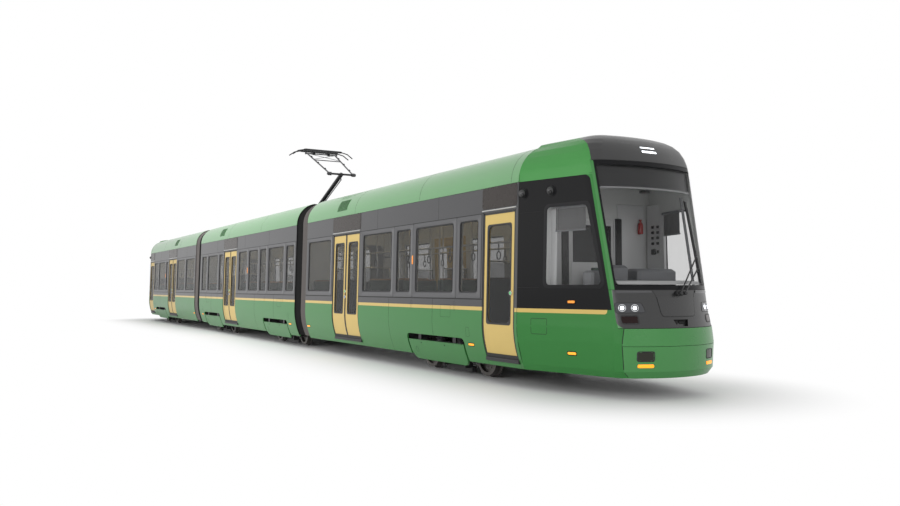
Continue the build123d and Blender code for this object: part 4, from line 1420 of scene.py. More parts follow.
class TRAM_OT_cab_front(TramOperator):
    """Adds the glass border, mask lines and lamp frames of the cab fronts"""

    bl_idname = "tram.cab_front"
    bl_label = "Cab front"

    # Windscreen glass: half-width and height at its foot and head
    screen_foot = (0.870, 1.456)
    screen_head = (0.925, 3.126)
    pillar_in = 0.014
    lamp_y = (0.634, 0.776)
    lamp_z = 1.194
    bezel = ((0.050, -0.012), (0.050, 0.006), (0.048, 0.008), (0.042, 0.008), (0.040, -0.004))
    # Panels as rising heights with their two edges
    cover_levels = ((1.138, 0.52, 0.838), (1.2, 0.532, 0.84), (1.255, 0.555, 0.84))
    hatch_levels = ((1.087, -0.278, 0.278), (1.12, -0.3, 0.3), (1.335, -0.333, 0.333))
    hatch_line = [(0.0, 1.078), (0.25, 1.078), (0.285, 1.085), (0.306, 1.12), (0.338, 1.33), (0.352, 1.37),
                  (0.39, 1.428)]
    cover_line = ((0.50, 1.135), (0.845, 1.125), (0.845, 1.262), (0.545, 1.262))
    ledge_y = (0.395, 0.825)
    rim_in = -0.002

    def execute(self, context):
        skin = Skin("front_cab_shell", "front_cab_mask", "front_bumper", "front_windscreen", "front_lamps")
        self.mask_panels(skin)
        self.screen_edges(skin)
        self.ledge(skin)
        liner, lines = shapes(2)
        self.slot(liner, skin)
        self.lines(lines, skin)
        build_ends("slot_liner", liner, seam_black(), "mask_black")
        build_ends("front_seams", lines, seam_black(), "mask_black", True)
        self.lamps(skin)
        return {"FINISHED"}

    def mask_panels(self, skin):
        """Lamp covers and the hatch."""
        clear = finish("Lamp cover", (0.035, 0.037, 0.042), 0.12, grain=12.0, tone=0.1, specular=0.6)
        sheen = finish("Mask hatch", (0.009, 0.009, 0.0095), 0.26, grain=5.0, tone=0.12, specular=0.75)
        covers, hatch = shapes(2)
        self.panel(covers, skin, self.cover_levels, 0.002)
        self.panel(hatch, skin, self.hatch_levels, 0.004)
        build_ends("lamp_covers", covers, clear, "mask_black", True)
        build_ends("mask_hatch", hatch, sheen, "mask_black")

    def ledge(self, skin):
        # Real raised ledge under the windscreen, in a grey far lighter than the mask black: a painted
        # highlight along it
        bright = finish("Mask ledge painted highlight", (0.045, 0.045, 0.048), 0.22, grain=5.0, tone=0.1, specular=0.7)
        shape = Shape()
        path = [(y, SCREEN_LOW - 0.026) for y in marks(*self.ledge_y, 24)]
        shape.stroke(path, 0.036, skin.front, 0.008, base=self.rim_in)
        build_ends("mask_ledge", shape, bright, "mask_black", True)

    def screen_edges(self, skin):
        """Dark border printed round the windscreen, and the green edge of the pillars."""
        border, trim = shapes(2)
        self.edge_strip(border, skin, (0.004, 0.025, 0.048), 0.0015)
        for z0, z1 in ((SCREEN_LOW + 0.003, 1.49), (3.12, SCREEN_TOP - 0.006)):
            rows = []
            for z in marks(z0, z1, 5):
                reach = self.half_width(z) - 0.004
                rows.append([skin.front(y, z, 0.0017) for y in marks(-reach, reach, 41)])
            border.sheet(rows)
        self.edge_strip(trim, skin, (-0.001, 0.012, 0.027), 0.0025)
        build_ends("glass_border", border, glass_border(), "mask_black")
        build_ends("pillar_trim", trim, green_paint(), "body_green")

    def half_width(self, z):
        """Half-width of the windscreen, which widens upwards."""
        low, low_z = self.screen_foot
        high, high_z = self.screen_head
        return low + (high - low) * (z - low_z) / (high_z - low_z) - self.pillar_in

    def edge_strip(self, shape, skin, insets, out):
        """Strips along both upright edges of the windscreen."""
        heights = marks(SCREEN_LOW + 0.003, SCREEN_TOP - 0.006, 36)
        for side in (-1, 1):
            rows = []
            for inset in insets:
                rows.append([skin.front(side * (self.half_width(z) - inset), z, out) for z in heights])
            shape.sheet(rows)

    def slot(self, shape, skin):
        """Dark back of the coupler slot with its sockets."""
        face = skin.front(0.0, MASK_LOW + 0.01)[0]
        shape.box((face - 0.09, -0.17, MASK_LOW + 0.006), (face - 0.07, 0.17, 1.07), 0.004)
        shape.button((face - 0.066, -0.07, 0.998), ALONG, 0.03, 0.012)
        shape.box((face - 0.074, -0.02, 0.972), (face - 0.056, 0.09, 1.022), 0.008)

    def lines(self, shape, skin):
        """Gaps round the hatch, mask, bumper and pillars, on the left half."""
        out = 0.002
        shape.stroke(spread(self.hatch_line, 0.03), 0.006, skin.front, out)
        for z, reach in ((SCREEN_LOW, 0.84), (SCREEN_TOP, 0.89), (MASK_LOW, 0.85)):
            shape.stroke([(y, z) for y in marks(0.0, reach, 30)], 0.009, skin.front, out)
        shape.stroke([(NOSE - 0.29, z) for z in marks(0.31, 0.93, 14)], 0.008, skin.side, out)
        for z in (SCREEN_LOW, 3.0):
            foot = PILLAR_X - PILLAR_RAKE * (z - PILLAR_Z)
            shape.stroke([(x, z) for x in marks(foot, foot + 0.12, 8)], 0.006, skin.side, out)

    def panel(self, shape, skin, levels, out):
        """Raised panel from its levels, with turned-in rims."""
        rows = []
        for (z0, a0, b0), (z1, a1, b1) in zip(levels, levels[1:]):
            for t in marks(0.0, 1.0, 5)[:-1]:
                rows.append((z0 + (z1 - z0) * t, a0 + (a1 - a0) * t, b0 + (b1 - b0) * t))
        rows.append(levels[-1])
        skins = []
        for z, a, b in rows:
            line = [skin.front(y, z, out) for y in marks(a, b, 17)]
            skins.append([skin.front(a, z, self.rim_in)] + line + [skin.front(b, z, self.rim_in)])
        rims = []
        for z, a, b in (rows[0], rows[-1]):
            rims.append([skin.front(y, z, self.rim_in) for y in [a] + marks(a, b, 17) + [b]])
        shape.sheet(rims[:1] + skins + rims[1:])

    def lamps(self, skin):
        """Headlamp bezels and beads, lamp frames, marker bars and reflectors."""
        chrome = finish("Bright ring", (0.75, 0.76, 0.78), 0.14, metallic=1.0, grain=60.0, tone=0.04)
        glow = finish("Headlamp glow", (0.9, 0.95, 1.0), 0.1, grain=40.0, tone=0.03, glow=2.2)
        rings, frames, beads, amber = shapes(4)
        for y in self.lamp_y:
            centre = skin.front(y, self.lamp_z)
            facing = skin.normal(y, self.lamp_z)
            rings.lathe(self.bezel, centre, facing, 36)
            beads.button(centre, facing, 0.026, 0.008)
        cover = spread(round_corners(self.cover_line, 0.03), 0.03, True)
        frames.stroke(cover, 0.007, skin.front, 0.004, True)
        for limits in ((0.612, 0.808, 0.992, 1.093), (0.470, 0.673, 0.512, 0.633)):
            frames.stroke(spread(rounded(*limits, 0.022), 0.03, True), 0.016, skin.front, 0.006, True)
        beads.mirrored()
        for z0, z1 in ((3.318, 3.347), (3.386, 3.404)):
            bar = spread(rounded(-0.132, 0.132, z0, z1, 0.008, 3), 0.04, True)
            beads.pad(bar, skin.front, 0.004, 0.003)
        amber.pad(rounded(0.474, 0.669, 0.428, 0.472, 0.02), skin.front, 0.007)
        build_ends("lamp_rings", rings, chrome, "wheel_steel", True)
        build_ends("lamp_frames", frames, rubber(), "mask_black", True)
        build_ends("headlamp_beads", beads, glow, "lamp_lens")
        build_ends("bumper_reflectors", amber, amber_lamp(), "lamp_lens", True)


class TRAM_OT_cab_sides(TramOperator):
    """Adds gaskets, lamps, hatches and camera rings to the cab sides"""

    bl_idname = "tram.cab_sides"
    bl_label = "Cab sides"

    corner = 0.055
    # Lamp and reflector as X limits, Z limits and corner radius
    lamp = (15.205, 15.335, 0.554, 0.586, 0.013)
    lamp_rim = (15.195, 15.345, 0.544, 0.596, 0.02)
    reflector = (15.215, 15.325, 1.248, 1.284, 0.016)
    reflector_rim = (15.205, 15.335, 1.238, 1.294, 0.022)
    hatch = (14.612, 14.88, 0.811, 1.029, 0.022)
    camera_x = (14.44, 14.92)
    camera_z = 2.809
    camera_seat = ((0.08, -0.01), (0.08, 0.006), (0.072, 0.012), (0.062, 0.012), (0.058, 0.0))
    camera_lens = ((0.026, 0.0), (0.026, 0.064), (0.022, 0.068), (0.016, 0.068), (0.013, 0.062))
    camera_look = (0.55, 0.75, -0.35)

    def execute(self, context):
        skin = Skin("front_cab_shell", "front_windows", "front_bumper")
        gasket, lines, lamps, rims, amber = shapes(5)
        outer = divided(round_corners(SIDE_WINDOW, self.corner), 5)
        inner = divided(round_corners(SIDE_OPENING, self.corner), 5)
        wide = aside(outer, -0.028, True)
        near = aside(outer, -0.008, True)
        rings = []
        for line, out in ((wide, -0.001), (wide, 0.002), (near, 0.003), (inner, 0.003), (inner, -0.004)):
            rings.append([skin.side(x, z, out) for x, z in line])
        gasket.loops(rings)
        lines.stroke(spread(rounded(*self.hatch), 0.05, True), 0.006, skin.side, 0.001, True)
        for z in (1.46, 2.53):
            lines.stroke([(x, z) for x in marks(CAB_X + 0.01, 14.74, 8)], 0.004, skin.side)
        lines.stroke([(CAB_X + 0.004, z) for z in marks(0.3, PANEL_TOP, 30)], 0.006, skin.side)
        lamps.pad(rounded(*self.lamp), skin.side, 0.010)
        # The cab side reflector glows faintly, a painted glow
        amber.pad(rounded(*self.reflector), skin.side, 0.010)
        rims.stroke(rounded(*self.lamp_rim), 0.008, skin.side, 0.004, True)
        rims.stroke(rounded(*self.reflector_rim), 0.008, skin.side, 0.005, True)
        self.cameras(rims, skin)
        for row in (("side_gaskets", gasket, glass_border(), "bellows_rubber"),
                    ("side_seams", lines, seam_black(), "mask_black"),
                    ("side_lamps", lamps, amber_lamp(), "lamp_lens"),
                    ("side_rims", rims, glass_border(), "mask_black"),
                    ("side_reflectors", amber, glowing_amber_reflector(), "lamp_lens")):
            build_ends(*row, both_sides=True)
        return {"FINISHED"}

    def cameras(self, shape, skin):
        """Seat ring and lens rim of each camera dome."""
        for x in self.camera_x:
            near = skin.side(x + 0.1, self.camera_z)[1]
            slope = (near - skin.side(x + 0.2, self.camera_z)[1]) / 0.1
            axis = Vector((slope, 1, LEAN)).normalized()
            base = Vector((x, near + slope * 0.1, self.camera_z))
            shape.lathe(self.camera_seat, base, axis, 36)
            shape.lathe(self.camera_lens, base, Vector(self.camera_look).normalized(), 24)


class TRAM_OT_wipers(TramOperator):
    """Adds the rubber blade, clips and spindle caps of the wipers"""

    bl_idname = "tram.wipers"
    bl_label = "Wipers"

    blade_foot = (0.588, 1.50)
    blade_tip = (0.534, 2.675)
    clips = (4, 9, 14, 19)
    spindle_y = (0.0, 0.08)
    spindle_z = 1.385

    def execute(self, context):
        skin = Skin("front_windscreen", "front_cab_mask")
        shape = Shape()
        y0, z0 = self.blade_foot
        y1, z1 = self.blade_tip
        blade = [(y0 + (y1 - y0) * t, z0 + (z1 - z0) * t) for t in marks(0.0, 1.0, 24)]
        shape.stroke(blade, 0.012, skin.front, 0.016)
        shape.tube([skin.front(y, z, 0.036) for y, z in blade[2:-2]], 0.009, 8)
        for k in self.clips:
            y, z = blade[k]
            shape.tube([skin.front(y, z, 0.012), skin.front(y, z, 0.042)], 0.012, 8)
        for y in self.spindle_y:
            x = skin.front(y, self.spindle_z - 0.06)[0]
            foot = ((0.032, -0.02), (0.032, 0.02), (0.026, 0.028))
            shape.lathe(foot, (x, y, self.spindle_z), (1, 0, 0.3), 24)
            cap = ((0.024, 0.0), (0.024, 0.03), (0.016, 0.04))
            shape.lathe(cap, (x + 0.05, y, self.spindle_z), ALONG, 20)
        build_ends("wiper_blades", shape, rubber(), "wiper_black")
        return {"FINISHED"}


class TRAM_OT_bellows(TramOperator):
    """Replaces the gangway rings by folded covers"""

    bl_idname = "tram.bellows"
    bl_label = "Bellows"

    folds = 9
    steps = 8
    foot = 0.32
    flange = 0.004
    shallow = 0.03
    deep = 0.085
    thick = 0.012
    gap = 0.002
    pin_z = 1.6

    def execute(self, context):
        cloth = finish("Bellows cloth", (0.13, 0.118, 0.112), 0.75, grain=420.0, tone=0.16, bump=0.3,
                       sheen=0.2, pattern="Weave")
        dark = finish("Bellows rubber", (0.006, 0.006, 0.006), 0.7, grain=70.0, tone=0.2, bump=0.3,
                      specular=0.25)
        for name, side in (("front", 1), ("rear", -1)):
            middle = side * (MID_END + END_START) / 2
            inner = self.cover(f"{name}_bellows_inner", side * (MID_END + self.gap), middle, dark, False)
            outer = self.cover(f"{name}_bellows_outer", middle, side * (END_START - self.gap), cloth, True)
            for piece in (inner, outer):
                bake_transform(piece)
            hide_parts(f"{name}_bellows")
        return {"FINISHED"}

    def cover(self, name, x0, x1, look, far_flange):
        """One half of a folded cover, with its end flange at x1 or at x0."""
        shape = self.fold(x0, x1, far_flange)
        mesh = bpy.data.meshes.new(name)
        mesh.from_pydata(shape.points, [], shape.faces)
        return finished(name, mesh, look, 60.0)

    def outline(self, x, inset):
        """Cross-section from the left foot over the roof to the right foot."""
        left = [(side_y(z) - inset, z) for z in marks(self.foot, CANT_Z, 24)]
        left += [on_roof(x, angle, -inset)[1:] for angle in marks(0.0, ROOF_SWEEP, 9)[1:]]
        left += [(y, left[-1][1]) for y in (0.55, 0.25)]
        return [(x, y, z) for y, z in left] + [(x, -y, z) for y, z in reversed(left)]

    def fold(self, x0, x1, far_flange):
        shape = Shape()
        count = self.folds * self.steps // 2
        outer = []
        inner = []
        for k in range(count + 1):
            x = x0 + (x1 - x0) * k / count
            wave = 0.5 - 0.5 * cos(2 * pi * k / self.steps)
            inset = self.shallow + (self.deep - self.shallow) * wave
            outer.append(self.outline(x, inset))
            inner.append(self.outline(x, inset + self.thick))
        shape.sheet(outer)
        shape.sheet([list(reversed(row)) for row in inner])
        last = len(outer[0]) - 1
        for i in (0, last):
            shape.sheet([[row[i] for row in outer], [row[i] for row in inner]])
        for k in (0, count):
            shape.sheet([outer[k], inner[k]])
        rim = outer[count if far_flange else 0]
        top = [spot for spot in rim if spot[2] > CANT_Z - 0.03]
        shape.add(top, [tuple(range(len(top)))])
        shape.sheet([rim, self.outline(rim[0][0], self.flange)])
        return shape


def crowned(shape, origin, along, up, size, thick):
    """Padded panel: crowned top, sides drawn in, one sewn channel across it."""
    cells = 10
    rows = []
    for j in range(cells + 1):
        v = 2.0 * j / cells - 1.0
        row = []
        for i in range(cells + 1):
            u = 2.0 * i / cells - 1.0
            drawn_u = u * (1.0 - 0.05 * (1.0 - v * v) * abs(u))
            drawn_v = v * (1.0 - 0.04 * (1.0 - u * u) * abs(v))
            crown = ((1.0 - u ** 6) * (1.0 - v ** 6)) ** 0.5
            crown -= 0.22 * exp(-((v - 0.1) / 0.13) ** 2) * crown
            flat = origin + ACROSS * (drawn_u * size[0] / 2) + along * (drawn_v * size[1] / 2)
            row.append(flat + up * (thick * crown))
        rows.append(row)
    shape.sheet(rows)
    low = [[p - up * max(0.0, (p - origin).dot(up)) - up * 0.004 for p in row] for row in rows]
    shape.sheet([list(reversed(row)) for row in low])
    for k in (0, -1):
        shape.sheet([rows[k], low[k]])
    for k in (0, -1):
        shape.sheet([[row[k] for row in rows], [row[k] for row in low]])


class TRAM_OT_seats(TramOperator):
    """Adds the cushions and top rails of the seats"""

    bl_idname = "tram.seats"
    bl_label = "Seats"

    pad_gap = 0.03
    base_depth = 0.34
    back_height = 0.56
    # Driver's seat and back as centre, way along, way up and size
    driver_pads = (((15.02, 0, 1.012), (1, 0, -0.05), (0, 0, 1), (0.44, 0.34)),
                   ((14.83, 0, 1.38), (-0.08, 0, 1), (1, 0, 0.08), (0.42, 0.62)))
    driver_thick = 0.045

    def execute(self, context):
        cloth = finish("Bench fabric", (0.022, 0.062, 0.043), 0.85, grain=240.0, tone=0.24, bump=0.15,
                       sheen=0.3, pattern="Weave")
        wood = finish("Rail wood", (0.33, 0.17, 0.07), 0.4, grain=60.0, tone=0.3, coat=0.3,
                      pattern="Brushed")
        for name in SECTIONS:
            pads, rails = shapes(2)
            seats = [(x, way, FLOOR_Z + SEAT_RISE) for x, way in FLOOR_SEATS[name]]
            seats += [(x + dx, way, BOX_TOP) for x in BOGIES[name] for dx, way in BOX_SEATS]
            for seat in seats:
                self.pads(pads, *seat)
                self.rail(rails, *seat)
            pads.mirrored()
            rails.mirrored()
            if name != "middle":
                self.driver(pads, 1 if name == "front" else -1)
            piece = build(f"{name}_seat_pads", pads, cloth, BODY[name], 50.0)
            build(f"{name}_seat_rails", rails, wood, BODY[name])
        return {"FINISHED"}

    def pads(self, shape, x, way, base):
        """Two seats side by side, each with a cushion and a back."""
        low, high = SEAT_Y
        width = (high - low) / 2
        lean = Vector((way * -0.09, 0, 0.715)).normalized()
        face = Vector((way * 0.715, 0, 0.09)).normalized()
        slope = Vector((way * 0.37, 0, 0.02)).normalized()
        pad_width = width - self.pad_gap
        for k in range(2):
            y = low + width * (k + 0.5)
            seat = Vector((x + way * 0.295, y, base + 0.087))
            back = Vector((x + way * 0.066, y, base + 0.425))
            crowned(shape, seat, slope, UP, (pad_width, self.base_depth), 0.035)
            crowned(shape, back, lean, face, (pad_width, self.back_height), 0.03)

    def rail(self, shape, x, way, base):
        low, high = SEAT_Y
        top = base + 0.80
        back = x - way * 0.015
        arch = [(back, low + 0.02, top - 0.03), (back, low + 0.03, top), (back, high - 0.03, top),
                (back, high - 0.02, top - 0.03)]
        shape.tube(arch, 0.02, 10)

    def driver(self, shape, end):
        flip = Vector((end, end, 1))
        for centre, along, face, size in self.driver_pads:
            crowned(shape, Vector(centre) * flip, (Vector(along) * flip).normalized(),
                    (Vector(face) * flip).normalized(), size, self.driver_thick)


class TRAM_OT_saloon(TramOperator):
    """Adds poles, rails, straps, screens and ceiling lights"""

    bl_idname = "tram.saloon"
    bl_label = "Saloon"

    pole_top = 2.988
    rail_y = 0.6
    rail_z = 2.2
    rail_top = 2.985
    rail_bend = 0.06
    door_pole_y = 0.62
    seat_pole_y = 0.47

    def execute(self, context):
        pole = context.scene.tram_trim.pole
        warm = finish("Ceiling light", (1.0, 0.80, 0.42), 0.4, grain=12.0, tone=0.05, glow=3.0)
        grey = finish("Handle grey", (0.05, 0.05, 0.052), 0.6, grain=120.0, tone=0.12)
        for name in SECTIONS:
            lights, bars, straps, panes = shapes(4)
            x0 = SPANS[name][0] + 0.25
            x1 = SPANS[name][1] - 0.25
            lights.box((x0, 0.40, 2.958), (x1, 0.47, 2.989), 0.008)
            self.rail(bars, x0, x1, pole)
            for x in marks(x0 + 0.5, x1 - 0.5, int((x1 - x0) / 0.8)):
                self.strap(straps, x)
            for x, width in DOORS[name]:
                for edge in (x - width / 2 - 0.07, x + width / 2 + 0.07):
                    self.pole(bars, edge, self.door_pole_y, pole)
                    self.screen(panes, bars, edge)
            for x, way in FLOOR_SEATS[name]:
                self.pole(bars, x - way * 0.02, self.seat_pole_y, pole)
            build_sides(name, (("ceiling_lights", lights, warm, "lamp_lens"),
                               ("handrails", bars, steel(), "wheel_steel"),
                               ("grab_handles", straps, grey, "bellows_rubber"),
                               ("screens", panes, clear_glass(), "window_glass")))
        return {"FINISHED"}

    def rail(self, shape, x0, x1, radius):
        """Rail under the ceiling, with its ends turned up."""
        bend = self.rail_bend
        path = ((x0, self.rail_top), (x0, 2.25), (x0 + bend, self.rail_z), (x1 - bend, self.rail_z),
                (x1, 2.25), (x1, self.rail_top))
        shape.tube([(x, self.rail_y, z) for x, z in path], radius)

    def pole(self, shape, x, y, radius):
        shape.tube([(x, y, FLOOR_Z), (x, y, self.pole_top)], radius)

    def strap(self, shape, x):
        """Loop handle that hangs from the rail."""
        y = self.rail_y
        shape.tube([(x, y, 2.222), (x, y, 2.05)], 0.011, 8)
        loop = [(x + 0.055 * sin(a), y, 1.99 + 0.065 * cos(a)) for a in marks(0.0, 2 * pi, 21)]
        shape.tube(loop, 0.010, 8)

    def screen(self, panes, bars, x):
        panes.box((x - 0.006, 0.66, 0.62), (x + 0.006, 1.22, 1.85), 0.002)
        bars.tube([(x, 0.63, 1.87), (x, 1.24, 1.87)], 0.014, 8)
        bars.tube([(x, 0.63, 0.6), (x, 1.22, 0.6)], 0.014, 8)


class TRAM_OT_cab_inside(TramOperator):
    """Adds the blank display, blinds, switches, consoles and bottle in the cabs"""

    bl_idname = "tram.cab_inside"
    bl_label = "Cab inside"

    display_half = 0.84
    display_in = -0.05
    wall_y = 1.10
    bottle_place = (14.505, 0.93, 2.29)
    bottle_profile = ((0.035, 0.0), (0.042, 0.012), (0.042, 0.15), (0.03, 0.178), (0.014, 0.19),
                      (0.014, 0.21), (0.026, 0.213), (0.022, 0.23))
    # Desk consoles as low corner, high corner and edge
    console_boxes = (((15.45, -0.72, 1.33), (15.72, -0.41, 1.76), 0.035),
                     ((15.40, -0.24, 1.33), (15.72, 0.48, 1.72), 0.04),
                     ((15.30, 0.55, 1.30), (15.60, 0.80, 1.42), 0.02))
    # Desk screens as X, Y limits and Z limits
    desk_screens = ((15.45, -0.69, -0.44, 1.5, 1.7), (15.40, -0.20, 0.08, 1.46, 1.67),
                    (15.40, 0.12, 0.44, 1.46, 1.67))
    # Bulkhead panels and wall panel as low corner, high corner and edge
    wall_boxes = (((14.438, 0.50, 1.3), (14.456, 1.06, 2.75), 0.01),
                  ((14.438, -0.40, 0.5), (14.456, 0.40, 2.45), 0.01),
                  ((14.438, -1.06, 1.3), (14.456, -0.50, 2.75), 0.01),
                  ((14.46, 1.10, 1.4), (14.86, 1.125, 2.75), 0.008))
    blind_x = (14.90, 15.38)
    blind_z = (2.25, 2.58)

    def execute(self, context):
        skin = Skin("front_windscreen")
        side = Skin("front_cab_shell", "front_windows")
        dark = finish("Display black", (0.014, 0.014, 0.015), 0.35, grain=180.0, tone=0.15)
        grey = finish("Grey plastic", (0.16, 0.165, 0.175), 0.5, grain=220.0, tone=0.08, bump=0.2)
        trim = finish("Display bar", (0.26, 0.265, 0.27), 0.4, grain=120.0, tone=0.06)
        pale = finish("Cab panel", (0.60, 0.605, 0.61), 0.5, grain=90.0, tone=0.05)
        red = finish("Bottle red", (0.40, 0.02, 0.018), 0.3, grain=60.0, tone=0.08, coat=0.4)
        cloth = finish("Blind cloth", (0.11, 0.11, 0.112), 0.8, grain=220.0, tone=0.08, bump=0.1, sheen=0.1)
        display, bar, consoles, dash, switches, panels, bottle = shapes(7)
        self.display(display, skin)
        bar.tube([skin.front(y, DISPLAY_LOW - 0.012, -0.045) for y in marks(-0.82, 0.82, 31)], 0.014, 8)
        self.consoles(consoles, side)
        self.dash(dash, skin)
        self.switches(switches)
        self.panels(panels, side)
        bottle.lathe(self.bottle_profile, self.bottle_place, UP)
        for row in (("front_display", display, dark, "mask_black"), ("display_bar", bar, trim, "cab_grey"),
                    ("consoles", consoles, grey, "cab_grey"), ("dash_covers", dash, pale, "cab_grey"),
                    ("switches", switches, dark, "mask_black"), ("cab_panels", panels, pale, "lining_grey"),
                    ("bottle", bottle, red, "cab_grey")):
            build_ends(*row)
        self.blinds(side, cloth, grey)
        return {"FINISHED"}

    def display(self, shape, skin):
        """Blank display behind the top of the windscreen."""
        ways = marks(-self.display_half, self.display_half, 31)
        rows = []
        for z in marks(DISPLAY_LOW, SCREEN_TOP - 0.03, 7):
            rows.append([skin.front(y, z, self.display_in) for y in ways])
        shape.sheet(rows)
        shape.sheet([rows[0], [(x - 0.12, y, z) for x, y, z in rows[0]]])
        shape.tube(rows[0], 0.012, 8)
        shape.box((15.55, -0.07, DISPLAY_LOW - 0.05), (15.63, 0.07, DISPLAY_LOW - 0.012))

    def dash(self, shape, skin):
        """Cover from the foot of the windscreen back to the consoles."""
        ways = marks(-0.76, 0.76, 25)
        rows = [[skin.front(y, z, out) for y in ways] for z, out in ((1.5, -0.05), (1.545, -0.09))]
        rows += [[(x, y, z) for y in ways] for x, z in ((15.60, 1.56), (15.36, 1.50), (15.34, 1.36))]
        shape.sheet(rows)

    def consoles(self, shape, side):
        """Desk consoles with screens, a control lever and two posts."""
        wall = side.side(15.5, 1.6)[1] - 0.1
        shape.box((15.28, -wall, 1.33), (15.5, 0.28 - wall, 1.69), 0.03)
        for low, high, bevel in self.console_boxes:
            shape.box(low, high, bevel)
        shape.tube([(15.32, 0.30, 1.36), (15.28, 0.30, 1.50)], 0.012)
        shape.button((15.275, 0.30, 1.52), UP, 0.026, 0.022)
        for x, y0, y1, z0, z1 in self.desk_screens:
            shape.box((x - 0.012, y0, z0), (x + 0.004, y1, z1), 0.004)
        for y in (-0.80, 0.80):
            shape.tube([(15.72, y, 1.42), (15.48, y, 2.76)], 0.02)

    def switches(self, shape):
        """Switches, a small screen, and the dark pane and jambs of the bulkhead door."""
        wall = self.wall_y
        for k in range(4):
            for x in (14.60, 14.71):
                z = 2.40 - 0.085 * k
                shape.box((x - 0.025, wall - 0.02, z - 0.022), (x + 0.025, wall + 0.01, z + 0.022), 0.006)
        shape.box((14.57, wall - 0.022, 1.97), (14.66, wall + 0.01, 2.06), 0.008)
        shape.box((14.69, wall - 0.02, 1.99), (14.73, wall + 0.01, 2.04), 0.006)
        shape.box((14.452, -0.95, 1.2), (14.47, -0.90, 2.5), 0.006)
        shape.box((14.452, -0.37, 1.84), (14.462, 0.37, 2.4), 0.004)
        for y in (-0.515, 0.515):
            shape.box((14.44, y - 0.065, 0.5), (14.476, y + 0.065, 2.52), 0.01)

    def panels(self, shape, side):
        """Bulkhead panels, window posts and the frame of the door."""
        for low, high, bevel in self.wall_boxes:
            shape.box(low, high, bevel)
        post = ((14.80, 0.02), (14.81, 0.0), (14.92, 0.0), (14.93, 0.02))
        for sign in (-1, 1):
            rows = []
            for z in marks(1.46, 2.56, 9):
                edge = [side.side(x, z, -0.12 + lift) for x, lift in post]
                rows.append([(x, sign * y, z) for x, y, z in edge])
            shape.sheet(rows)
        for y in (-0.44, 0.44):
            shape.tube([(14.45, y, 0.5), (14.45, y, 2.5)], 0.014, 8)
        shape.tube([(14.45, -0.44, 2.5), (14.45, 0.44, 2.5)], 0.014, 8)

    def blinds(self, skin, cloth, plastic):
        """Roller blinds inside the side windows, hung from their rollers."""
        start, end = self.blind_x
        low, high = self.blind_z
        for name, flip in (("front", 1), ("rear", -1)):
            for label, side in (("left", 1), ("right", -1)):
                rows = []
                for z in marks(low, high, 5):
                    line = [skin.side(x, z, -0.11 + 0.003 * sin(60 * x)) for x in marks(start, end, 25)]
                    rows.append([(flip * x, flip * side * y, z) for x, y, z in line])
                hung, bars = shapes(2)
                hung.sheet(rows)
                bars.tube([rows[0][0], rows[0][-1]], 0.012, 8)
                bars.tube([rows[-1][0], rows[-1][-1]], 0.022, 10)
                holder = build(f"{name}_{label}_blind_bars", bars, plastic, BODY[name])
                piece = build(f"{name}_{label}_blind", hung, cloth, BODY[name])


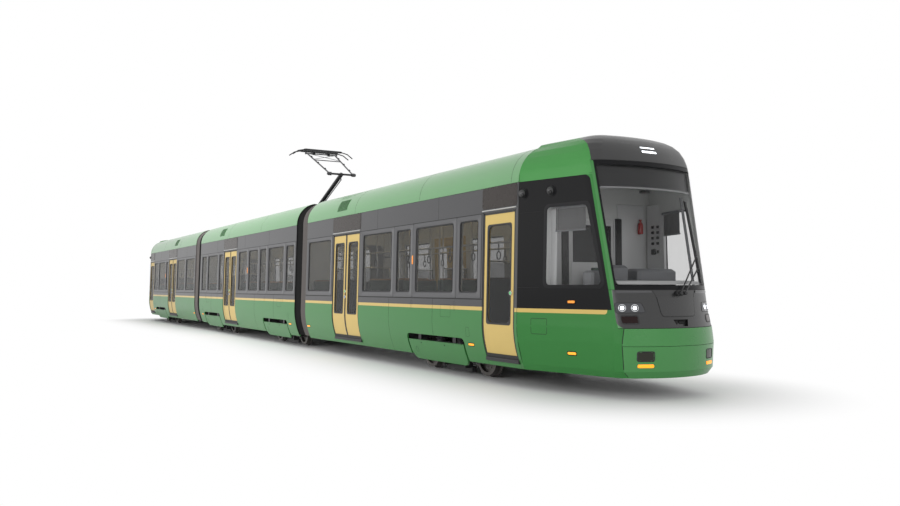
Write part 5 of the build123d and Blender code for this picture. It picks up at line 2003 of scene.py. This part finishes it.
class TRAM_OT_pantograph(TramOperator):
    """Adds the carbon strips, springs, rods and braces of the pantograph"""

    bl_idname = "tram.pantograph"
    bl_label = "Pantograph"

    spring_y = (0.13, -0.13)
    foot_x = (-0.6, 0.6)
    foot_y = (-0.38, 0.38)
    shed = ((0.04, -0.012), (0.068, -0.004), (0.068, 0.004), (0.04, 0.012))
    shed_pitch = 0.038
    insulator_low = 3.0403
    knee_half = 0.375
    strip_reach = 0.14
    strip_half = 0.5
    # Distances from pivots to the ends of the coupling rod, along and below the arm
    rod_foot = (0.12, 0.10)
    rod_head = (0.08, 0.12)

    def execute(self, context):
        dark = finish("Arm black", (0.012, 0.012, 0.013), 0.45, grain=50.0, tone=0.15)
        carbon = finish("Contact carbon", (0.03, 0.03, 0.032), 0.55, metallic=0.3, grain=140.0, tone=0.3,
                        bump=0.2, pattern="Brushed")
        frame = finish("Frame steel", (0.09, 0.09, 0.095), 0.4, metallic=0.6, grain=60.0, tone=0.15)
        clay = finish("Insulator brown", (0.10, 0.035, 0.022), 0.25, grain=40.0, tone=0.12, coat=0.5)
        paint("pantograph_upper_arm", frame)
        springs, sheds, rods, braces, strips = shapes(5)
        self.springs(springs)
        self.sheds(sheds)
        self.rods(rods)
        self.braces(braces)
        self.strips(strips)
        for label, shape, look, body in (("springs", springs, dark, BODY["middle"]),
                                         ("insulators", sheds, clay, BODY["middle"]),
                                         ("rods", rods, frame, "pantograph_lower"),
                                         ("braces", braces, frame, "pantograph_upper"),
                                         ("carbon", strips, carbon, "pantograph_collector")):
            build(f"pantograph_{label}", shape, look, body)
        return {"FINISHED"}

    def springs(self, shape):
        """Raising springs with their anchors."""
        x = PANTO[0]
        for y in self.spring_y:
            shape.coil((x + 0.06, y, 3.36), (x + 0.56, y, 3.34), 0.04, 0.008, 14)
            shape.tube([(x + 0.54, y, 3.34), (x + 0.66, y, 3.30)], 0.012)
            shape.box((x + 0.62, y - 0.03, 3.27), (x + 0.68, y + 0.03, 3.34), 0.006)
        shape.box((x - 0.14, -0.2, 3.27), (x - 0.02, 0.2, 3.33), 0.01)

    def sheds(self, shape):
        for dx in self.foot_x:
            for y in self.foot_y:
                for k in range(4):
                    z = self.insulator_low + (k + 0.95) * self.shed_pitch
                    shape.lathe(self.shed, (PANTO[0] + dx, y, z), UP)

    def rods(self, shape):
        """Coupling rod under the lower arm, and the knee caps."""
        foot = Vector((PANTO[0], 0, PANTO[1]))
        knee = Vector((KNEE[0], 0, KNEE[1]))
        ahead = (knee - foot).normalized()
        below = Vector((ahead.z, 0, -ahead.x))
        start = foot + ahead * self.rod_foot[0] + below * self.rod_foot[1]
        end = knee - ahead * self.rod_head[0] + below * self.rod_head[1]
        shape.tube([start, end], 0.012)
        for spot in (start, end):
            shape.tube([spot, spot - below * 0.10], 0.016, 8)
        for y in (-self.knee_half, self.knee_half):
            shape.button((KNEE[0], y, KNEE[1]), (0, y, 0), 0.036, 0.012)

    def on_arm(self, t, side):
        """Point on an upper tube, from the knee to the head."""
        y = side * (0.32 + 0.08 * t)
        return (KNEE[0] + (APEX[0] - KNEE[0]) * t, y, KNEE[1] + (APEX[1] - KNEE[1]) * t + 0.012)

    def braces(self, shape):
        """Cross braces, collars and pivot caps of the upper tubes."""
        for side in (-1, 1):
            shape.tube([self.on_arm(0.68, -side), self.on_arm(0.97, side)], 0.007, 6)
        for side in (-1, 1):
            for t in (0.2, 0.5, 0.8):
                shape.tube([self.on_arm(t - 0.01, side), self.on_arm(t + 0.01, side)], 0.026, 12)
            shape.button((APEX[0], side * 0.44, APEX[1]), (0, side, 0), 0.03, 0.016)

    def strips(self, shape):
        """Contact strips on the bows, with end clips."""
        half = self.strip_half
        for x in (APEX[0] - self.strip_reach, APEX[0] + self.strip_reach):
            shape.box((x - 0.017, -half, 5.158), (x + 0.017, half, 5.172), 0.005)
            for y in (-half, half):
                shape.box((x - 0.022, y - 0.015, 5.145), (x + 0.022, y + 0.015, 5.168), 0.004)


class TRAM_OT_running_gear(TramOperator):
    """Adds springs, bearing caps, bolts and pipes to the bogies and wheels"""

    bl_idname = "tram.running_gear"
    bl_label = "Running gear"

    spring_x = 0.35
    spring_y = 0.92
    spring_z = (0.49, 0.75)
    pipe_y = 0.93
    wheel_face = 0.765
    cap_y = 0.97
    cap_profile = ((0.105, -0.02), (0.105, 0.012), (0.095, 0.02), (0.06, 0.024), (0.055, 0.034),
                   (0.03, 0.036))
    # Rings of bolts as count, radius of the ring and radius of a bolt
    wheel_ring = (10, 0.175, 0.014)
    cap_ring = (6, 0.083, 0.009)

    def execute(self, context):
        spring = finish("Spring grey", (0.10, 0.10, 0.105), 0.45, metallic=0.5, grain=60.0, tone=0.15)
        cast = finish("Cast grey", (0.045, 0.046, 0.048), 0.55, metallic=0.3, grain=50.0, tone=0.25,
                      bump=0.3)
        bright = finish("Bolt steel", (0.25, 0.24, 0.23), 0.4, metallic=0.9, grain=80.0, tone=0.15)
        centres = [x for name in SECTIONS for x in BOGIES[name]]
        order = sorted(range(1, 5), key=lambda i: -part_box(f"bogie_{i}_frame")[0][0])
        for index, x in zip(order, sorted(centres, reverse=True)):
            body = f"bogie_{index}"
            coils, caps = shapes(2)
            self.coils(coils, x)
            self.caps(caps, x)
            coils.mirrored()
            caps.mirrored()
            build(f"{body}_coils", coils, spring, body)
            build(f"{body}_caps", caps, cast, body)
            for mark, end in (("a", 1), ("b", -1)):
                bolts = Shape()
                self.bolts(bolts, x + end * AXLE_REACH, self.wheel_face, *self.wheel_ring)
                bolts.mirrored()
                build(f"{body}_bolts_{mark}", bolts, bright, f"{body}_wheelset_{mark}")
        return {"FINISHED"}

    def coils(self, shape, x):
        """Coil springs between the frame and the bolster."""
        low, high = self.spring_z
        for end in (-1, 1):
            u = x + end * self.spring_x
            shape.coil((u, self.spring_y, low), (u, self.spring_y, high), 0.104, 0.013, 5)

    def caps(self, shape, x):
        """Bearing caps with bolts, and the pipe between them."""
        for end in (-1, 1):
            u = x + end * AXLE_REACH
            shape.lathe(self.cap_profile, (u, self.cap_y, AXLE_Z), ACROSS, 32)
            self.bolts(shape, u, self.cap_y + 0.02, *self.cap_ring)
        path = ((x - 0.9, 0.50), (x - 0.5, 0.515), (x + 0.5, 0.515), (x + 0.9, 0.50))
        shape.tube([(u, self.pipe_y, z) for u, z in path], 0.014)

    def bolts(self, shape, x, y, count, reach, radius):
        for k in range(count):
            a = 2 * pi * k / count
            shape.bolt((x + reach * cos(a), y, AXLE_Z + reach * sin(a)), ACROSS, radius)


CLASSES = [TramPaint, TramTrim, TramStage, TRAM_OT_stage, TRAM_OT_finishes, TRAM_OT_windows,
           TRAM_OT_doors, TRAM_OT_sides, TRAM_OT_roofs, TRAM_OT_cab_front, TRAM_OT_cab_sides,
           TRAM_OT_wipers, TRAM_OT_bellows, TRAM_OT_seats, TRAM_OT_saloon, TRAM_OT_cab_inside,
           TRAM_OT_pantograph, TRAM_OT_running_gear]
STEPS = [cls for cls in CLASSES if issubclass(cls, bpy.types.Operator)]


class TRAM_PT_panel(bpy.types.Panel):
    """Lists the building steps"""

    bl_label = "Tram"
    bl_idname = "TRAM_PT_panel"
    bl_space_type = "VIEW_3D"
    bl_region_type = "UI"
    bl_category = "Tram"

    def draw(self, context):
        for step in STEPS:
            self.layout.operator(step.bl_idname)


def register():
    for cls in CLASSES + [TRAM_PT_panel]:
        bpy.utils.register_class(cls)
    bpy.types.Scene.tram_paint = bpy.props.PointerProperty(type=TramPaint)
    bpy.types.Scene.tram_trim = bpy.props.PointerProperty(type=TramTrim)
    bpy.types.Scene.tram_stage = bpy.props.PointerProperty(type=TramStage)


def unregister():
    del bpy.types.Scene.tram_stage
    del bpy.types.Scene.tram_trim
    del bpy.types.Scene.tram_paint
    for cls in reversed(CLASSES + [TRAM_PT_panel]):
        bpy.utils.unregister_class(cls)


def main():
    register()
    for step in STEPS:
        space, name = step.bl_idname.split(".")
        getattr(getattr(bpy.ops, space), name)()


if __name__ == "__main__":
    main()
